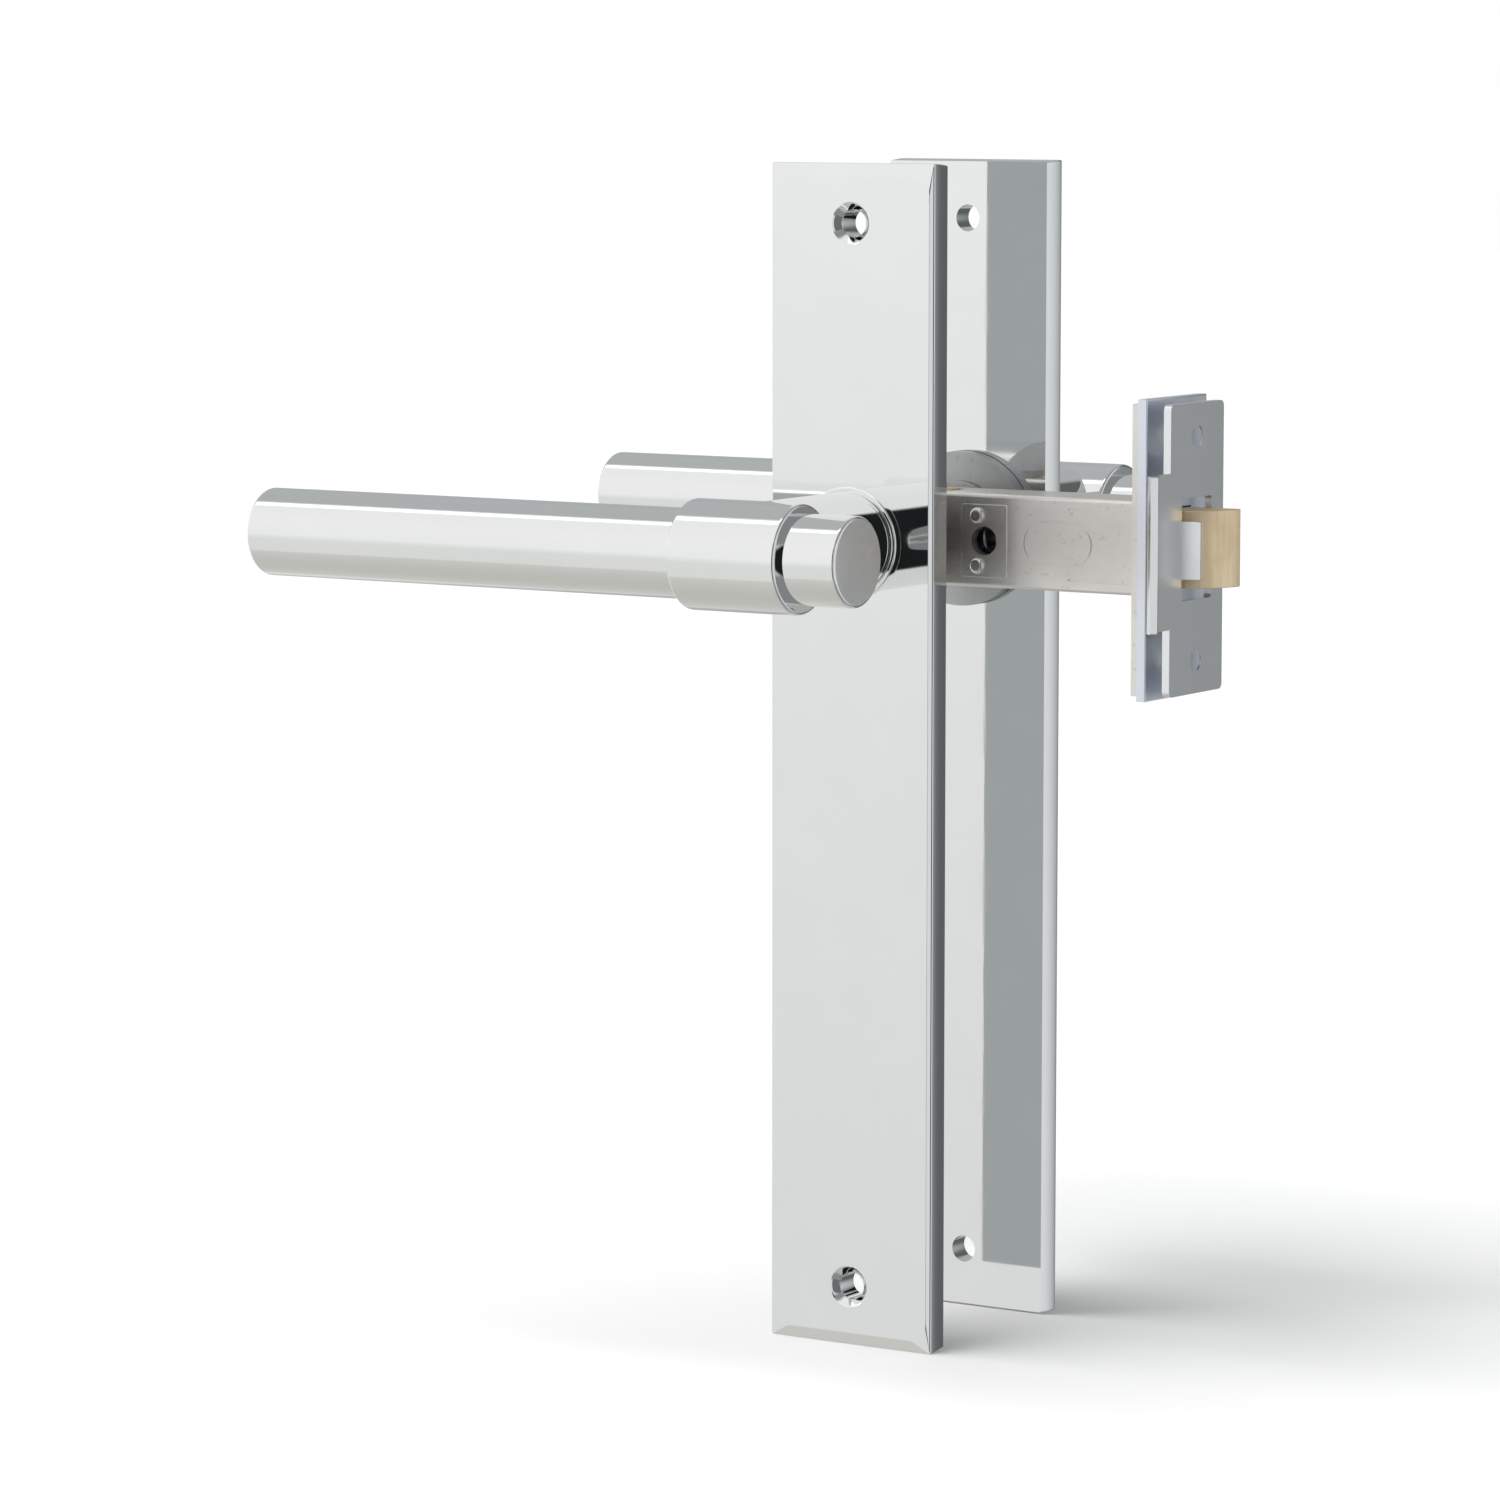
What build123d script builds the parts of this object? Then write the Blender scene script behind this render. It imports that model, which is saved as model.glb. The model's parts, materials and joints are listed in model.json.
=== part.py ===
"""Lever handle set for a passage door: two sprung lever handles, tubular latch and strike.

The set stands assembled as on a door 40 mm thick, with the door leaf left out.
Millimetres, +Z up. The origin is on the spindle axis at mid thickness of the door.
Both levers point to -X, the latch reaches the door's edge at +X, and the front
handle is on the -Y side. The back handle is the front one mirrored in the XZ plane.
Depths called w are measured outwards from the front face of the door.
"""
from build123d import *
from math import cos, radians, sin, sqrt
import os

os.makedirs("parts", exist_ok=True)

# ---- door and plate ---------------------------------------------------------------
DOOR_THICKNESS = 40.0
PLATE_HEIGHT = 240.0
PLATE_WIDTH = 38.0
PLATE_THICKNESS = 6.5
PLATE_EDGE = 0.5
TAPPED_HOLE_ROOF = 1.0  # metal left in front of the tapped holes in the plate
PIVOT_ABOVE_CENTRE = 44.0  # spindle axis above the middle of the plate
PLATE_HOLE_SPACING = 216.0
PLATE_HOLE_RADIUS = 2.75
PLATE_SINK_RADIUS = 4.1
SINK_ANGLE = 90.0
RECESS_RADIUS = 16.1  # pocket in the back of the plate for the spring cassette
RECESS_DEPTH = 4.0

# ---- lever ------------------------------------------------------------------------
LEVER_STANDOFF = 38.0  # lever axis in front of the plate's face
BAR_RADIUS = 9.0
BAR_TIP_REACH = 116.0  # free end of the bar, from the spindle axis
BAR_STUB_REACH = 25.0  # short end of the bar, past the spindle axis
BAR_EDGE = 0.6
SLEEVE_RADIUS = 11.0
SLEEVE_LENGTH = 25.0
SLEEVE_EDGE = 0.7
NECK_RADIUS = 10.4
COLLAR_RADIUS = 11.4
COLLAR_PROUD = 1.2
COLLAR_EDGE = 0.4
COLLAR_SPIGOT_RADIUS = 10.0
BUSH_RADIUS = 8.5
BUSH_FLANGE_RADIUS = 9.8
JOURNAL_RADIUS = 7.0
RUNNING_FIT = 0.05
JOURNAL_FLAT = 5.6  # from the axis to each driving flat
JOURNAL_END = -5.6  # w of the journal's inner end
AXIAL_PLAY = 0.3

# ---- spindle ----------------------------------------------------------------------
SPINDLE_SQUARE = 8.0
SPINDLE_LENGTH = 72.0
SOCKET_SQUARE = 8.2
SOCKET_END = 17.0  # w of the bottom of the square socket
GRUB_RADIUS = 2.5
GRUB_W = 13.0
GRUB_KEY_RADIUS = 1.45  # corner radius of the hexagon key socket
NECK_SCREW_RADIUS = 2.0
NECK_SCREW_HEAD_RADIUS = 3.5
NECK_SCREW_HEAD = 4.0
NECK_SCREW_KEY_RADIUS = 1.75  # corner radius of the hexagon key socket
NECK_SCREW_KEY_DEPTH = 2.2
NECK_SCREW_HEAD_GAP = 0.1
NECK_SCREW_TIP_W = 42.5
GRUB_LENGTH = 5.6
GRUB_CHAMFER = 0.3
SPINDLE_CHAMFER = 0.6

# ---- return spring cassette ---------------------------------------------------------
LEVER_TURN = 60.0  # degrees
CASSETTE_RADIUS = 16.0
CASSETTE_WALL = 1.0
CASSETTE_COVER_W = -3.0  # w of the cover's inner face, towards the latch
DRIVER_RADIUS = 9.6
LUG_ANGLE = 70.0  # middle of the driver's lug at rest, from +X towards +Z
LUG_HALF_ANGLE = 8.0
LUG_REACH = 14.2
LUG_THICKNESS = 1.2
FINGER_INNER_RADIUS = 12.0  # raised end of the lug, which the spring's leg bears on
FINGER_HALF_ANGLE = 3.0
FINGER_HEIGHT = 2.4
STOP_CLEARANCE_ANGLE = 1.5
STOP_WIDTH_ANGLE = 10.0
STOP_INNER_RADIUS = 12.2
TORSION_RADIUS = 10.6  # wire centre line
TORSION_WIRE = 0.45  # wire radius
TORSION_LEG_REACH = 13.8
DRIVEN_LEG_ANGLE = 81.0
HELD_LEG_ANGLE = 171.0
CASSETTE_SCREW_CIRCLE = 13.5
CASSETTE_SCREW_RADIUS = 1.25
CASSETTE_EDGE = 0.5
CASSETTE_SCREW_HEAD = 1.1
CASSETTE_SCREW_HEAD_RADIUS = 2.2
CASSETTE_SCREW_TIP_W = 5.2
CROSS_RECESS_LENGTH = 2.6
CROSS_RECESS_WIDTH = 0.5
CROSS_RECESS_DEPTH = 0.7
CIRCLIP_W = -4.9
CIRCLIP_THICKNESS = 1.0
GROOVE_RADIUS = 6.0
WASHER_RIM = 3.0
WASHER_THICKNESS = 0.6

# ---- latch --------------------------------------------------------------------------
BACKSET = 60.0  # spindle axis to the faceplate's outer face
CASE_HEIGHT = 19.0
CASE_THICKNESS = 14.0
CASE_WALL = 1.0
CASE_REAR = 14.0  # rear end of the case behind the spindle axis
FACEPLATE_LENGTH = 60.0
FACEPLATE_WIDTH = 25.0
FACEPLATE_THICKNESS = 2.0
FACEPLATE_CHAMFER = 0.3
FOREND_LENGTH = 58.0
FOREND_WIDTH = 23.4
FOREND_THICKNESS = 1.7
FACEPLATE_SCREW_SPACING = 42.0
FACEPLATE_SLOT_LENGTH = 6.2
FACEPLATE_SLOT_WIDTH = 4.2
BOLT_HEIGHT = 15.5
BOLT_THICKNESS = 11.6
BOLT_PROJECTION = 11.4
BOLT_REAR = 53.0
BOLT_BEVEL_RADIUS = 11.3
BOLT_OPENING_GAP = 0.3
BOLT_TRAVEL = 10.89  # carriage travel over the whole lever turn

HUB_RADIUS = 6.9
HUB_HALF_LENGTH = 7.4
HUB_HOLE_RADIUS = 7.0
HUB_CHAMFER = 0.3
STAR_SQUARE = 8.15
ARM_REACH = 11.6  # spindle axis to the centre of the arm's round tip
ARM_HALF_WIDTH = 0.9
ARM_THICKNESS = 4.4
ARM_LEAN = 40.0  # degrees from upright, towards the faceplate, at rest
TAB_FACE_X = 5.7
TAB_THICKNESS = 1.4
TAB_INNER_Z = 9.0
TAB_OUTER_Z = 10.9
RAIL_INNER_Z = 7.25
RAIL_OUTER_Z = 8.3
RAIL_INNER_Y = 2.7
RAIL_OUTER_Y = 5.5
CARRIAGE_PLATE_X = 36.0
CARRIAGE_PLATE_THICKNESS = 2.5
CARRIAGE_TUBE_RADIUS = 3.4
CARRIAGE_BORE_RADIUS = 1.9
CARRIAGE_BORE_END_X = 52.0
TUBE_IN_BOLT = 5.0
ROD_RADIUS = 1.5
ROD_END_X = 39.5
ROD_CHAMFER = 0.3
BRACKET_X = 12.9
BRACKET_WEB = 1.0
BRACKET_FOOT = 0.8
BRACKET_FOOT_END_X = 23.8
BRACKET_HALF_HEIGHT = 6.9
BOLT_SPRING_RADIUS = 3.9  # wire centre line
BOLT_SPRING_WIRE = 0.45
BOLT_SPRING_TURNS = 7
BOLT_PIN_X = 55.5
BOLT_PIN_RADIUS = 1.25
BOLT_PIN_LENGTH = 15.3
PAD_X = 20.0
PAD_LENGTH = 10.6
PAD_HEIGHT = 14.8
PAD_PROUD = 0.3
PAD_CORNER = 0.6
PAD_HOLE_RADIUS = 2.9
PAD_RIVET_X = 18.5
PAD_RIVET_Z = 5.1
PAD_RIVET_HEAD = 1.7
PAD_RIVET_SHANK = 1.0
REAR_RIVET_X = -11.0
REAR_RIVET_HEAD = 2.25
REAR_RIVET_SHANK = 1.5
RIVET_DOME = 0.9
RIVET_CROWN = 0.85

# ---- strike -------------------------------------------------------------------------
DOOR_GAP = 3.0
STRIKE_LENGTH = 58.0
STRIKE_WIDTH = 22.2
STRIKE_THICKNESS = 1.6
STRIKE_CORNER = 1.2
STRIKE_SCREW_SPACING = 44.6
STRIKE_HOLE_RADIUS = 2.3
STRIKE_SINK_RADIUS = 4.1
STRIKE_SINK_ANGLE = 110.0
STRIKE_OPENING_HEIGHT = 20.4
STRIKE_OPENING_WIDTH = 12.6
STRIKE_OPENING_CORNER = 0.8
STRIKE_LIP_HEIGHT = 31.0
STRIKE_LIP_FLAT = 4.6
STRIKE_LIP_RADIUS = 6.0
STRIKE_LIP_CORNER = 2.5
STRIKE_LIP_TURN = 52.0  # degrees the lip is rolled back towards the jamb
STRIKE_TAB_HEIGHT = 11.6
STRIKE_TAB_LENGTH = 4.2
STRIKE_TAB_THICKNESS = 1.12
STRIKE_TAB_INSET = 0.4
STRIKE_TAB_LEAN = 14.0

# ---- derived ------------------------------------------------------------------------
DOOR_HALF = DOOR_THICKNESS / 2
LEVER_W = PLATE_THICKNESS + LEVER_STANDOFF
LEVER_Y = -(DOOR_HALF + LEVER_W)
PLATE_CENTRE_Z = -PIVOT_ABOVE_CENTRE
COLLAR_W = PLATE_THICKNESS + COLLAR_PROUD
NECK_W = COLLAR_W + AXIAL_PLAY
CASSETTE_BASE_W = RECESS_DEPTH - CASSETTE_WALL
GRUB_TOP_Z = -SPINDLE_SQUARE / 2
CASE_FRONT = BACKSET - FACEPLATE_THICKNESS
FOREND_X = CASE_FRONT - FOREND_THICKNESS
CASE_INNER_Z = CASE_HEIGHT / 2 - CASE_WALL
CASE_INNER_Y = CASE_THICKNESS / 2 - CASE_WALL
STRIKE_X = BACKSET + DOOR_GAP


def facing_front(w):
    """Plane parallel to the door at depth w in front of its front face, looking outwards."""
    return Plane(origin=(0, -(DOOR_HALF + w), 0), x_dir=(1, 0, 0), z_dir=(0, -1, 0))


def facing_edge(x):
    """Plane across the latch at x, looking along +X, with its own x along +Y and y along +Z."""
    return Plane(origin=(x, 0, 0), x_dir=(0, 1, 0), z_dir=(1, 0, 0))


def finish(piece, name):
    """Label a finished piece and write it as one STEP file."""
    piece.part.label = name
    export_step(piece.part, f"parts/{name}.step")


def sector(inner, outer, middle_angle, half_angle):
    """Flat ring sector about the spindle axis, with angles from +X towards +Z."""
    low = radians(middle_angle - half_angle)
    mid = radians(middle_angle)
    high = radians(middle_angle + half_angle)
    with BuildSketch(mode=Mode.PRIVATE) as shape:
        with BuildLine():
            ThreePointArc(
                (outer * cos(low), outer * sin(low)),
                (outer * cos(mid), outer * sin(mid)),
                (outer * cos(high), outer * sin(high)),
            )
            Line((outer * cos(high), outer * sin(high)), (inner * cos(high), inner * sin(high)))
            ThreePointArc(
                (inner * cos(high), inner * sin(high)),
                (inner * cos(mid), inner * sin(mid)),
                (inner * cos(low), inner * sin(low)),
            )
            Line((inner * cos(low), inner * sin(low)), (outer * cos(low), outer * sin(low)))
        make_face()
    return shape.sketch


def flatted_disc(radius, flat):
    """Draw a disc with two flats, each at distance flat from the centre along X."""
    with BuildSketch(mode=Mode.PRIVATE) as shape:
        Circle(radius)
        Rectangle(2 * flat, 2 * radius, mode=Mode.INTERSECT)
    return shape.sketch


# ===== front handle: fixed pieces =====================================================

with BuildPart() as backplate:
    with BuildSketch(facing_front(0)):
        with Locations((0, PLATE_CENTRE_Z)):
            Rectangle(PLATE_WIDTH, PLATE_HEIGHT)
    extrude(amount=PLATE_THICKNESS)
    fillet(backplate.faces().sort_by(Axis.Y)[0].edges(), PLATE_EDGE)
    with Locations(facing_front(PLATE_THICKNESS)):
        with Locations((0, PLATE_CENTRE_Z)):
            with GridLocations(0, PLATE_HOLE_SPACING, 1, 2):
                CounterSinkHole(PLATE_HOLE_RADIUS, PLATE_SINK_RADIUS, counter_sink_angle=SINK_ANGLE)
    with BuildSketch(facing_front(0)):
        Circle(RECESS_RADIUS)
    extrude(amount=RECESS_DEPTH, mode=Mode.SUBTRACT)
    with BuildSketch(facing_front(0)):
        Circle(COLLAR_SPIGOT_RADIUS)
    extrude(amount=PLATE_THICKNESS, mode=Mode.SUBTRACT)
    # tapped holes in the web take the two cassette screws
    with BuildSketch(facing_front(0)):
        with PolarLocations(CASSETTE_SCREW_CIRCLE, 2):
            Circle(CASSETTE_SCREW_RADIUS)
    extrude(amount=PLATE_THICKNESS - TAPPED_HOLE_ROOF, mode=Mode.SUBTRACT)

# The collar ring is pressed into the plate by its spigot and frames the neck.
with BuildPart() as collar_ring:
    with BuildSketch(facing_front(RECESS_DEPTH)):
        Circle(COLLAR_SPIGOT_RADIUS)
    extrude(amount=PLATE_THICKNESS - RECESS_DEPTH)
    with BuildSketch(facing_front(PLATE_THICKNESS)):
        Circle(COLLAR_RADIUS)
    extrude(amount=COLLAR_PROUD)
    fillet(collar_ring.faces().sort_by(Axis.Y)[0].edges(), COLLAR_EDGE)
    with BuildSketch(facing_front(RECESS_DEPTH)):
        Circle(BUSH_RADIUS)
    extrude(amount=COLLAR_W - RECESS_DEPTH, mode=Mode.SUBTRACT)

with BuildPart() as neck_bush:
    with BuildSketch(facing_front(CASSETTE_BASE_W)):
        Circle(BUSH_RADIUS)
    extrude(amount=COLLAR_W - CASSETTE_BASE_W)
    with BuildSketch(facing_front(CASSETTE_BASE_W)):
        Circle(BUSH_FLANGE_RADIUS)
    extrude(amount=CASSETTE_WALL)
    with BuildSketch(facing_front(CASSETTE_BASE_W)):
        Circle(JOURNAL_RADIUS + RUNNING_FIT)
    extrude(amount=COLLAR_W - CASSETTE_BASE_W, mode=Mode.SUBTRACT)

# The cassette is a pressed cup with two stops on its wall for the driver's lug.
STOP_ANGLES = (
    LUG_ANGLE - LUG_HALF_ANGLE - STOP_CLEARANCE_ANGLE - STOP_WIDTH_ANGLE / 2,
    LUG_ANGLE + LEVER_TURN + LUG_HALF_ANGLE + STOP_CLEARANCE_ANGLE + STOP_WIDTH_ANGLE / 2,
)
STOP_OUTER_RADIUS = CASSETTE_RADIUS - CASSETTE_WALL / 2
COVER_OUTER_W = CASSETTE_COVER_W + CASSETTE_WALL
with BuildPart() as cassette_housing:
    with BuildSketch(facing_front(COVER_OUTER_W)):
        Circle(CASSETTE_RADIUS)
    extrude(amount=RECESS_DEPTH - COVER_OUTER_W)
    fillet(cassette_housing.faces().sort_by(Axis.Y)[0].edges(), CASSETTE_EDGE)
    with BuildSketch(facing_front(COVER_OUTER_W)):
        Circle(CASSETTE_RADIUS - CASSETTE_WALL)
    extrude(amount=CASSETTE_BASE_W - COVER_OUTER_W, mode=Mode.SUBTRACT)
    with BuildSketch(facing_front(COVER_OUTER_W)):
        Circle(COLLAR_SPIGOT_RADIUS)
    extrude(amount=RECESS_DEPTH - COVER_OUTER_W, mode=Mode.SUBTRACT)
    with BuildSketch(facing_front(COVER_OUTER_W)):
        for angle in STOP_ANGLES:
            add(sector(STOP_INNER_RADIUS, STOP_OUTER_RADIUS, angle, STOP_WIDTH_ANGLE / 2))
    extrude(amount=CASSETTE_BASE_W - COVER_OUTER_W)
    with BuildSketch(facing_front(COVER_OUTER_W)):
        with PolarLocations(CASSETTE_SCREW_CIRCLE, 2):
            Circle(CASSETTE_SCREW_RADIUS)
    extrude(amount=RECESS_DEPTH - COVER_OUTER_W, mode=Mode.SUBTRACT)

with BuildPart() as cassette_cover:
    with BuildSketch(facing_front(CASSETTE_COVER_W)):
        Circle(CASSETTE_RADIUS)
        Circle(JOURNAL_RADIUS + AXIAL_PLAY, mode=Mode.SUBTRACT)
        with PolarLocations(CASSETTE_SCREW_CIRCLE, 2):
            Circle(CASSETTE_SCREW_RADIUS, mode=Mode.SUBTRACT)
    extrude(amount=CASSETTE_WALL)

with BuildPart() as cassette_screws:
    with BuildSketch(facing_front(CASSETTE_COVER_W)):
        with PolarLocations(CASSETTE_SCREW_CIRCLE, 2):
            Circle(CASSETTE_SCREW_RADIUS)
    extrude(amount=CASSETTE_SCREW_TIP_W - CASSETTE_COVER_W)
    with BuildSketch(facing_front(CASSETTE_COVER_W)):
        with PolarLocations(CASSETTE_SCREW_CIRCLE, 2):
            Circle(CASSETTE_SCREW_HEAD_RADIUS)
    extrude(amount=-CASSETTE_SCREW_HEAD)
    fillet(cassette_screws.faces().sort_by(Axis.Y)[-2:].edges(), COLLAR_EDGE)
    with BuildSketch(facing_front(CASSETTE_COVER_W - CASSETTE_SCREW_HEAD)):
        with PolarLocations(CASSETTE_SCREW_CIRCLE, 2):
            Rectangle(CROSS_RECESS_LENGTH, CROSS_RECESS_WIDTH)
            Rectangle(CROSS_RECESS_WIDTH, CROSS_RECESS_LENGTH)
    extrude(amount=CROSS_RECESS_DEPTH, mode=Mode.SUBTRACT)

# ===== front handle: pieces that turn =================================================

# Neck and journal are one turned piece: round neck, coped onto the sleeve, journal
# with two driving flats, circlip groove, and a square socket for the spindle.
with BuildPart() as lever_neck:
    with BuildSketch(facing_front(NECK_W)):
        Circle(NECK_RADIUS)
    extrude(amount=LEVER_W - NECK_W)
    with BuildSketch(facing_front(JOURNAL_END)):
        Circle(JOURNAL_RADIUS)
    extrude(amount=NECK_W - JOURNAL_END)
    # the driving flats run from the journal's end to the cassette's base
    with BuildSketch(facing_front(JOURNAL_END)):
        Circle(JOURNAL_RADIUS + 1)
        Rectangle(2 * JOURNAL_FLAT, 2 * JOURNAL_RADIUS + 4, mode=Mode.SUBTRACT)
    extrude(amount=CASSETTE_BASE_W - JOURNAL_END, mode=Mode.SUBTRACT)
    with BuildSketch(facing_front(CIRCLIP_W)):
        Circle(JOURNAL_RADIUS + 1)
        Circle(GROOVE_RADIUS, mode=Mode.SUBTRACT)
    extrude(amount=CIRCLIP_THICKNESS, mode=Mode.SUBTRACT)
    with BuildSketch(facing_front(JOURNAL_END)):
        Rectangle(SOCKET_SQUARE, SOCKET_SQUARE)
    extrude(amount=SOCKET_END - JOURNAL_END, mode=Mode.SUBTRACT)
    # counterbore and clearance hole for the screw that holds the bar
    with BuildSketch(facing_front(SOCKET_END)):
        Circle(NECK_SCREW_HEAD_RADIUS + NECK_SCREW_HEAD_GAP)
    extrude(amount=NECK_SCREW_HEAD, mode=Mode.SUBTRACT)
    with BuildSketch(facing_front(SOCKET_END)):
        Circle(NECK_SCREW_RADIUS)
    extrude(amount=LEVER_W - SOCKET_END, mode=Mode.SUBTRACT)
    # the neck's outer end is coped to the sleeve
    with BuildSketch(facing_edge(-SLEEVE_LENGTH)):
        with Locations((LEVER_Y, 0)):
            Circle(SLEEVE_RADIUS)
    extrude(amount=2 * SLEEVE_LENGTH, mode=Mode.SUBTRACT)
    # tapped hole for the grub screw, from below
    with BuildSketch(Plane.XY.offset(-NECK_RADIUS - 1)):
        with Locations((0, -(DOOR_HALF + GRUB_W))):
            Circle(GRUB_RADIUS)
    extrude(amount=NECK_RADIUS + 1 + GRUB_TOP_Z, mode=Mode.SUBTRACT)

with BuildPart() as lever_sleeve:
    with BuildSketch(facing_edge(-SLEEVE_LENGTH / 2)):
        with Locations((LEVER_Y, 0)):
            Circle(SLEEVE_RADIUS)
    extrude(amount=SLEEVE_LENGTH)
    fillet(lever_sleeve.edges().filter_by(GeomType.CIRCLE), SLEEVE_EDGE)
    with BuildSketch(facing_edge(-SLEEVE_LENGTH / 2)):
        with Locations((LEVER_Y, 0)):
            Circle(BAR_RADIUS)
    extrude(amount=SLEEVE_LENGTH, mode=Mode.SUBTRACT)
    with BuildSketch(facing_front(SOCKET_END)):
        Circle(NECK_SCREW_RADIUS)
    extrude(amount=LEVER_W - SOCKET_END, mode=Mode.SUBTRACT)

with BuildPart() as lever_bar:
    with BuildSketch(facing_edge(-BAR_TIP_REACH)):
        with Locations((LEVER_Y, 0)):
            Circle(BAR_RADIUS)
    extrude(amount=BAR_TIP_REACH + BAR_STUB_REACH)
    fillet(lever_bar.edges().filter_by(GeomType.CIRCLE), BAR_EDGE)
    with BuildSketch(facing_front(SOCKET_END)):
        Circle(NECK_SCREW_RADIUS)
    extrude(amount=NECK_SCREW_TIP_W - SOCKET_END, mode=Mode.SUBTRACT)

with BuildPart() as neck_screw:
    with BuildSketch(facing_front(SOCKET_END)):
        Circle(NECK_SCREW_HEAD_RADIUS)
    extrude(amount=NECK_SCREW_HEAD)
    with BuildSketch(facing_front(SOCKET_END)):
        Circle(NECK_SCREW_RADIUS)
    extrude(amount=NECK_SCREW_TIP_W - SOCKET_END)
    with BuildSketch(facing_front(SOCKET_END)):
        RegularPolygon(NECK_SCREW_KEY_RADIUS, 6)
    extrude(amount=NECK_SCREW_KEY_DEPTH, mode=Mode.SUBTRACT)

with BuildPart() as grub_screw:
    with BuildSketch(Plane.XY.offset(GRUB_TOP_Z - GRUB_LENGTH)):
        with Locations((0, -(DOOR_HALF + GRUB_W))):
            Circle(GRUB_RADIUS)
    extrude(amount=GRUB_LENGTH)
    chamfer(grub_screw.edges().filter_by(GeomType.CIRCLE), GRUB_CHAMFER)
    with BuildSketch(Plane.XY.offset(GRUB_TOP_Z - GRUB_LENGTH)):
        with Locations((0, -(DOOR_HALF + GRUB_W))):
            RegularPolygon(GRUB_KEY_RADIUS, 6)
    extrude(amount=GRUB_LENGTH / 2, mode=Mode.SUBTRACT)

DRIVER_GAP = 0.2
DRIVER_INNER_W = COVER_OUTER_W + DRIVER_GAP
DRIVER_OUTER_W = CASSETTE_BASE_W - DRIVER_GAP
with BuildPart() as cassette_driver:
    with BuildSketch(facing_front(DRIVER_INNER_W)):
        Circle(DRIVER_RADIUS)
    extrude(amount=DRIVER_OUTER_W - DRIVER_INNER_W)
    with BuildSketch(facing_front(DRIVER_INNER_W)):
        add(sector(DRIVER_RADIUS - 2, LUG_REACH, LUG_ANGLE, LUG_HALF_ANGLE))
    extrude(amount=LUG_THICKNESS)
    with BuildSketch(facing_front(DRIVER_INNER_W)):
        finger_angle = LUG_ANGLE + LUG_HALF_ANGLE - FINGER_HALF_ANGLE
        add(sector(FINGER_INNER_RADIUS, LUG_REACH, finger_angle, FINGER_HALF_ANGLE))
    extrude(amount=FINGER_HEIGHT)
    with BuildSketch(facing_front(DRIVER_INNER_W)):
        add(flatted_disc(JOURNAL_RADIUS + RUNNING_FIT, JOURNAL_FLAT + RUNNING_FIT))
    extrude(amount=DRIVER_OUTER_W - DRIVER_INNER_W, mode=Mode.SUBTRACT)

# Torsion spring: two turns and the rest of the way between its legs, one leg against
# the driver's lug and the other against a cassette screw.
TORSION_SWEEP = 720.0 + HELD_LEG_ANGLE - DRIVEN_LEG_ANGLE
TORSION_GAP = 0.1
TORSION_START_W = DRIVER_INNER_W + LUG_THICKNESS + TORSION_WIRE + TORSION_GAP
TORSION_END_W = CASSETTE_BASE_W - TORSION_WIRE - TORSION_GAP
TORSION_PITCH = (TORSION_END_W - TORSION_START_W) * 360.0 / TORSION_SWEEP
HELIX_START_ANGLE = 270.0  # where a helix about -Y begins, in the angles used here


def spring_leg_plane(angle, w):
    """Plane at the coil's wire line, with its normal pointing away from the spindle axis."""
    outward = Vector(cos(radians(angle)), 0, sin(radians(angle)))
    return Plane(origin=outward * TORSION_RADIUS + Vector(0, -(DOOR_HALF + w), 0), z_dir=outward)


with BuildPart() as cassette_spring:
    with BuildLine() as coil:
        turns = Helix(
            pitch=TORSION_PITCH,
            height=TORSION_END_W - TORSION_START_W,
            radius=TORSION_RADIUS,
            center=(0, -(DOOR_HALF + TORSION_START_W), 0),
            direction=(0, -1, 0),
            mode=Mode.PRIVATE,
        )
        add(turns.rotate(Axis((0, 0, 0), (0, -1, 0)), DRIVEN_LEG_ANGLE - HELIX_START_ANGLE))
    with BuildSketch(Plane(origin=coil.line @ 0, z_dir=coil.line % 0)):
        Circle(TORSION_WIRE)
    sweep()
    for angle, w in ((DRIVEN_LEG_ANGLE, TORSION_START_W), (HELD_LEG_ANGLE, TORSION_END_W)):
        leg = spring_leg_plane(angle, w)
        with Locations(leg):
            Sphere(TORSION_WIRE)
        with BuildSketch(leg):
            Circle(TORSION_WIRE)
        extrude(amount=TORSION_LEG_REACH - TORSION_RADIUS)

with BuildPart() as thrust_washer:
    with BuildSketch(facing_front(CIRCLIP_W + CIRCLIP_THICKNESS)):
        Circle(JOURNAL_RADIUS + WASHER_RIM)
        Circle(JOURNAL_RADIUS + RUNNING_FIT, mode=Mode.SUBTRACT)
    extrude(amount=WASHER_THICKNESS)

# External circlip: an open ring with two ears, each with a hole for the pliers.
CIRCLIP_RADIUS = 8.4
CIRCLIP_GAP = 2.6
EAR_RADIUS = 1.5
EAR_HOLE_RADIUS = 0.6
EAR_ANGLE = 22.0
EAR_CENTRES = [
    (CIRCLIP_RADIUS * sin(radians(side * EAR_ANGLE)), -CIRCLIP_RADIUS * cos(radians(EAR_ANGLE)))
    for side in (-1, 1)
]
with BuildPart() as circlip:
    with BuildSketch(facing_front(CIRCLIP_W)):
        Circle(CIRCLIP_RADIUS)
        with Locations(*EAR_CENTRES):
            Circle(EAR_RADIUS)
        Circle(GROOVE_RADIUS + RUNNING_FIT, mode=Mode.SUBTRACT)
        with Locations(*EAR_CENTRES):
            Circle(EAR_HOLE_RADIUS, mode=Mode.SUBTRACT)
        with Locations((0, -CIRCLIP_RADIUS)):
            Rectangle(CIRCLIP_GAP, CIRCLIP_RADIUS, mode=Mode.SUBTRACT)
    extrude(amount=CIRCLIP_THICKNESS)

# ===== the two handed handles ===========================================================

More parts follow.
